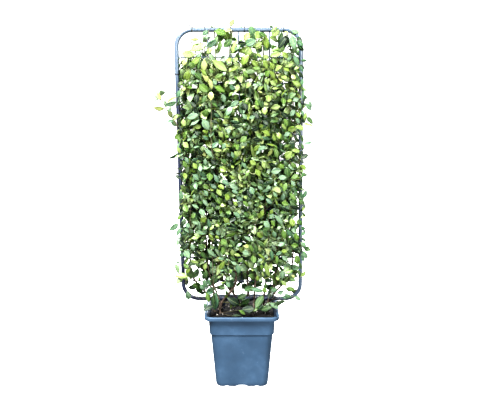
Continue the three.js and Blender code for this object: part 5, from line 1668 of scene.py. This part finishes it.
# Mean youth of the leaves at a height; the lowest values, inside the pot, stand partly for old leaves and
# partly for painted shade
YOUTH_BY_HEIGHT = [
    (330, -0.1), (400, 0.0), (425, 0.76), (500, 0.80), (620, 0.76), (800, 0.71), (1000, 0.69), (1120, 0.72),
    (1180, 0.76), (1220, 0.90), (1320, 0.92), (1380, 0.82), (1450, 0.80),
]
# What moves a leaf off that mean: clumps (weight, size and seed), a fresh or an old twig (limit and youth),
# the place along its twig, chance, and painted shade on the plant's far side (where it starts, where it is
# full and its drop)
YOUTH_LIFT = 0.13
YOUTH_CLUMPS = [(0.10, 110, 21), (0.08, 45, 22)]
FRESH_TWIG, OLD_TWIG, PLAIN_TWIG = (1.1, 0.18), (-0.7, -0.20), 0.05
TIP_YOUTH, YOUTH_SCATTER = 0.10, 0.12
FAR_SIDE_SHADE = (-42, 12, 0.38)
YOUNGEST_GROWN = 0.96
# Pale leaves: the band of heights that holds them with their youths, which stands partly for young growth and
# partly for painted light, and the outer part of the long shoot
PALE_BAND, PALE_YOUTHS = (1190, 1222, 1332, 1350), [0.96, 0.9, 0.78]
PALE_SHOOT_X, PALE_SHOOT_Z, PALE_SHOOT_YOUTH = -268, 1050, 0.95
# Heights that part the plant in three, and the power that chance is raised to for how far a leaf turns to
# mint in each
# part: the lower it is, the more leaves are mint, which is partly painted sheen; the leaves in the pot get
# the least
MINT_EDGES, MINT_POWERS = (392, 800), np.array([1.6, 0.45, 0.75])


def youth_of(leaves, draw):
    """0 for the darkest leaves, in the pot, to 1 for the youngest at the top and at tips. The darkness in the
    pot is partly old leaves and partly painted shade, leaves from just in front of the stems backwards are
    darkened as painted shade, and a band just under the top is lifted to pale, partly young growth and partly
    painted light. The leaves of one twig are of about one age, and a few twigs everywhere are fresh or old."""
    middle = np.array([leaf["root"] + leaf["heading"] * leaf["length"] * 0.5 for leaf in leaves])
    base = np.interp(middle[:, 2], *zip(*YOUTH_BY_HEIGHT))
    base += sum(weight * value_noise(middle, cell, seed) for weight, cell, seed in YOUTH_CLUMPS)
    kin = np.array([leaf.get("kin", draw.normal()) for leaf in leaves])
    older = np.where(kin < OLD_TWIG[0], OLD_TWIG[1], PLAIN_TWIG * kin)
    base += np.where(kin > FRESH_TWIG[0], FRESH_TWIG[1], older)
    base += draw.normal(0, YOUTH_SCATTER, len(leaves))
    base += np.array([TIP_YOUTH * leaf.get("tip", 0.2) for leaf in leaves])
    # Painted shade: leaves from just in front of the stems backwards are made darker, by up to the drop.
    base -= FAR_SIDE_SHADE[2] * smooth_step(*FAR_SIDE_SHADE[:2], middle[:, 1]) - YOUTH_LIFT
    # Painted light: in the pale band a leaf's youth is raised to a pale one, partly young growth and partly
    # light on the top leaves.
    band = smooth_step(*PALE_BAND[:2], middle[:, 2]) * (1 - smooth_step(*PALE_BAND[2:], middle[:, 2]))
    base = np.maximum(base, band * draw.choice(PALE_YOUTHS, len(leaves)))
    on_shoot = (middle[:, 0] < PALE_SHOOT_X) & (middle[:, 2] > PALE_SHOOT_Z)
    base = np.where(on_shoot, PALE_SHOOT_YOUTH, base)
    listed = np.array([leaf.get("youth", -1) for leaf in leaves])
    return np.where(listed >= 0, listed, np.clip(base, 0, YOUNGEST_GROWN))


class JASMINE_OT_vines(bpy.types.Operator):
    """Ten leafy stems: the frame's leaves made fine, and more twigs and leaves between them"""

    bl_idname = "jasmine.vines"
    bl_label = "Leafy Vines"

    def execute(self, context):
        settings = context.scene.jasmine_plant
        lengths = (settings.leaf_short / MM, settings.leaf_long / MM)
        store = fixed_boxes()
        vines = frame_leaves(store)
        room = LeafRoom()
        for leaf in sum(vines, []):
            leaf["length"] *= FRAME_LEAF_TRIM
            room.take(leaf, 0)
        listed, lone = listed_leaves(store, room)
        screen = Screen(sum(listed, []))
        bare = bare_twigs()
        wood, blade = bark(), leaf_finish(settings)
        for owner, stem in enumerate(STEMS):
            twigs, more = grow_twigs(owner, store, room, screen, settings.twig_spacing / MM, lengths)
            self.stems(owner, stem, twigs, lone[owner], bare[owner], wood)
            self.leaves(owner, vines[owner] + listed[owner] + more, blade)
        return {"FINISHED"}

    def stems(self, owner, stem, twigs, lone, bare, material):
        """Tubes along the main stem, its side shoots and its twigs, swelling a little where a pair grows."""
        heights = np.array([HOLE_FLOOR + 2, *np.arange(SOIL_TOP - 6, stem["tip"], 9.0), stem["tip"]])
        line = mix(on_stem(stem, heights).T, stem_point(stem, heights), 0.6)
        line[:, 0] += 1.2 * np.sin(heights / 23 + owner) * smooth_step(SOIL_TOP, SOIL_TOP + 60, heights)
        radii = stem_radius(stem, heights) * (1 + 0.10 * np.cos(heights / CROSS_PITCH * 4 * TAU) ** 8)
        young = smooth_step(0.55, 1.0, (heights - SOIL_TOP) / (stem["tip"] - SOIL_TOP))
        shoots = [
            bezier(on_stem(stem, shoot["from"]), np.array(shoot["by"]), np.array(shoot["to"]), 16)
            for shoot in SHOOTS if shoot["stem"] == owner
        ]
        # Each path with its radius at its root and its tip, its sides, and its youth at its root and its tip
        thin = [(path, SHOOT_RADIUS, SHOOT_RADIUS * 0.5, 8, 0.4, 1) for path in shoots]
        thin += [(path, 1.3, 0.7, 6, 0.35, 1) for path in twigs]
        thin += [(path, 1.1, 0.7, 6, 0, 0.45) for path in lone]
        thin += [(path, radius, radius * 0.7, 6, 0, 0.2) for path, radius in bare]
        runs = [(line, radii, 10, young)]
        for path, root, tip, sides, old, new in thin:
            runs.append((path, np.linspace(root, tip, len(path)), sides, np.linspace(old, new, len(path))))
        points, faces, tones, first = [], [], [], 0
        for path, sizes, sides, youth in runs:
            points.append(tube_rings(path, sizes, sides))
            faces += ring_faces(len(path), sides, first=first)
            column = np.repeat(youth, sides)
            tones.append(np.column_stack([column, column, column, np.ones(len(column))]))
            first += len(points[-1])
        piece = put_mesh(f"vine_{owner + 1:02d}_stems", leaned(np.vstack(points)), faces, material,
                         tones=np.vstack(tones))
        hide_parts(f"vine_{owner + 1:02d}")

    def leaves(self, owner, leaves, material):
        """All the leaves of one vine as one piece, with their tones and their own UV map."""
        draw = np.random.default_rng(500 + owner)
        points, u, across, over = leaf_points(leaves, draw)
        count = len(leaves)
        youth = youth_of(leaves, draw)
        height = np.array([leaf["root"][2] for leaf in leaves])
        # How far each leaf turns to mint, partly leaf colour and partly painted sheen
        chance = draw.random(count) ** MINT_POWERS[np.searchsorted(MINT_EDGES, height, side="right")]
        own = np.array([leaf.get("own", value) for leaf, value in zip(leaves, chance)])
        under = np.broadcast_to(over < -0.1, (count, LEAF_RINGS, LEAF_ROUND)).astype(float)
        tones = np.stack(np.broadcast_arrays(youth[:, None, None], own[:, None, None], under, 1.0), axis=-1)
        uv = np.stack(np.broadcast_arrays(u, across / 2 + 0.5, under)[:2], axis=-1)
        put_mesh(
            f"vine_{owner + 1:02d}_leaves", leaned(points.reshape(-1, 3)), leaf_faces(count), material,
            uv=uv.reshape(-1, 2), tones=tones.reshape(-1, 4),
        )


# Lights: name, place and aim in metres, size and power against the key light's
LIGHTS = [
    ("key", (-1.5, -2.1, 3.7), (0, 0, 0.85), 1.6, 1), ("fill", (1.6, -3.4, 1.4), (0, 0, 0.7), 1.8, 0.3),
    ("behind", (1.1, 2.6, 2.9), (0, 0, 0.8), 1.8, 0.8),
]
# Where the surround starts and stops growing darker, by the height of a direction, and from and to what level
SKY_OVERHEAD, SKY_UNDERFOOT = (0.135, 0.4, 1.0, 0.3), (-0.11, -0.4, 1.0, 0.32)
CAMERA_DIP = 9.9
FLOOR_HALF = 14.0


class JASMINE_OT_studio(bpy.types.Operator):
    """Plain pale floor, white surround, soft lights and the camera"""

    bl_idname = "jasmine.studio"
    bl_label = "Studio"

    def execute(self, context):
        settings = context.scene.jasmine_studio
        mesh = bpy.data.meshes.new("floor")
        corners = [(x * FLOOR_HALF, y * FLOOR_HALF, 0) for x, y in ((-1, -1), (1, -1), (1, 1), (-1, 1))]
        mesh.from_pydata(corners, [], [(0, 1, 2, 3)])
        floor = bpy.data.objects.new("floor", mesh)
        context.scene.collection.objects.link(floor)
        s = Shades("studio floor")
        grain = s.ramp(s.noise(2.0, 2.0), [(0.0, (0.48, 0.48, 0.48)), (1.0, (0.50, 0.50, 0.50))])
        white = (1.0, 1.0, 1.0, 1.0)
        floor_finish = s.finish(
            Base_Color=grain, Roughness=0.9, Emission_Color=white, Emission_Strength=settings.floor_glow,
        )
        mesh.materials.append(floor_finish)
        floor.visible_diffuse = floor.visible_glossy = False
        context.scene.world = self.surround(settings.sky)
        for name, place, aim, size, share in LIGHTS:
            self.area(name, place, aim, size, settings.key_power * share)
        self.camera(context, settings.lens)
        view = context.scene.view_settings
        view.view_transform = "Standard"
        view.look = "Very High Contrast"
        return {"FINISHED"}

    def surround(self, strength):
        """White all round at eye level, darker overhead and underfoot, so that the hollows among the leaves
        stay dark."""
        s = Shades("white surround", "worlds")
        height = s.axes(s.add("ShaderNodeTexCoord").outputs["Generated"])[2]
        level = s.times(s.spread(height, *SKY_OVERHEAD), s.spread(height, *SKY_UNDERFOOT))
        background = s.nodes["Background"]
        s.give(background.inputs["Color"], (1.0, 1.0, 1.0, 1.0))
        s.give(background.inputs["Strength"], s.times(level, strength))
        return s.owner

    def area(self, name, place, aim, size, power):
        """A round soft light that looks along the line from its place to its aim."""
        light = bpy.data.lights.new(name, "AREA")
        light.shape, light.size, light.energy = "DISK", size, power
        lamp = bpy.data.objects.new(name, light)
        lamp.location = place
        direction = np.array(aim) - np.array(place)
        lamp.rotation_euler = (
            math.atan2(math.hypot(direction[0], direction[1]), -direction[2]), 0,
            math.atan2(-direction[0], direction[1]),
        )
        bpy.context.scene.collection.objects.link(lamp)

    def camera(self, context, lens):
        """Eye height and tilt worked out from the pot's rim and the trellis in the picture."""
        data = bpy.data.cameras.new("camera")
        data.lens, data.sensor_width, data.clip_end = lens, 36.0, 100
        camera = bpy.data.objects.new("camera", data)
        camera.location = EYE * MM
        camera.rotation_euler = (math.radians(90 - CAMERA_DIP), 0, 0)
        context.scene.collection.objects.link(camera)
        context.scene.camera = camera


class JASMINE_PT_panel(bpy.types.Panel):
    bl_label = "Potted Star Jasmine"
    bl_idname = "JASMINE_PT_panel"
    bl_space_type = "VIEW_3D"
    bl_region_type = "UI"
    bl_category = "Jasmine"

    def draw(self, context):
        for operator, group in STEPS:
            box = self.layout.box()
            box.operator(operator)
            settings = getattr(context.scene, group)
            for key in settings.__annotations__:
                box.prop(settings, key)


STEPS = [
    ("jasmine.pot", "jasmine_pot"), ("jasmine.soil", "jasmine_soil"), ("jasmine.trellis", "jasmine_trellis"),
    ("jasmine.vines", "jasmine_plant"), ("jasmine.studio", "jasmine_studio"),
]
GROUPS = {
    "jasmine_pot": JasminePotSettings, "jasmine_soil": JasmineSoilSettings,
    "jasmine_trellis": JasmineTrellisSettings, "jasmine_plant": JasminePlantSettings,
    "jasmine_studio": JasmineStudioSettings,
}
CLASSES = (
    *GROUPS.values(), JASMINE_OT_pot, JASMINE_OT_soil, JASMINE_OT_trellis, JASMINE_OT_vines,
    JASMINE_OT_studio, JASMINE_PT_panel,
)


def register():
    for cls in CLASSES:
        bpy.utils.register_class(cls)
    for name, group in GROUPS.items():
        setattr(bpy.types.Scene, name, PointerProperty(type=group))


def unregister():
    for name in GROUPS:
        delattr(bpy.types.Scene, name)
    for cls in reversed(CLASSES):
        bpy.utils.unregister_class(cls)


def main():
    """Runs every operator once."""
    register()
    for operator, _ in STEPS:
        area, name = operator.split(".")
        getattr(getattr(bpy.ops, area), name)()


if __name__ == "__main__":
    main()
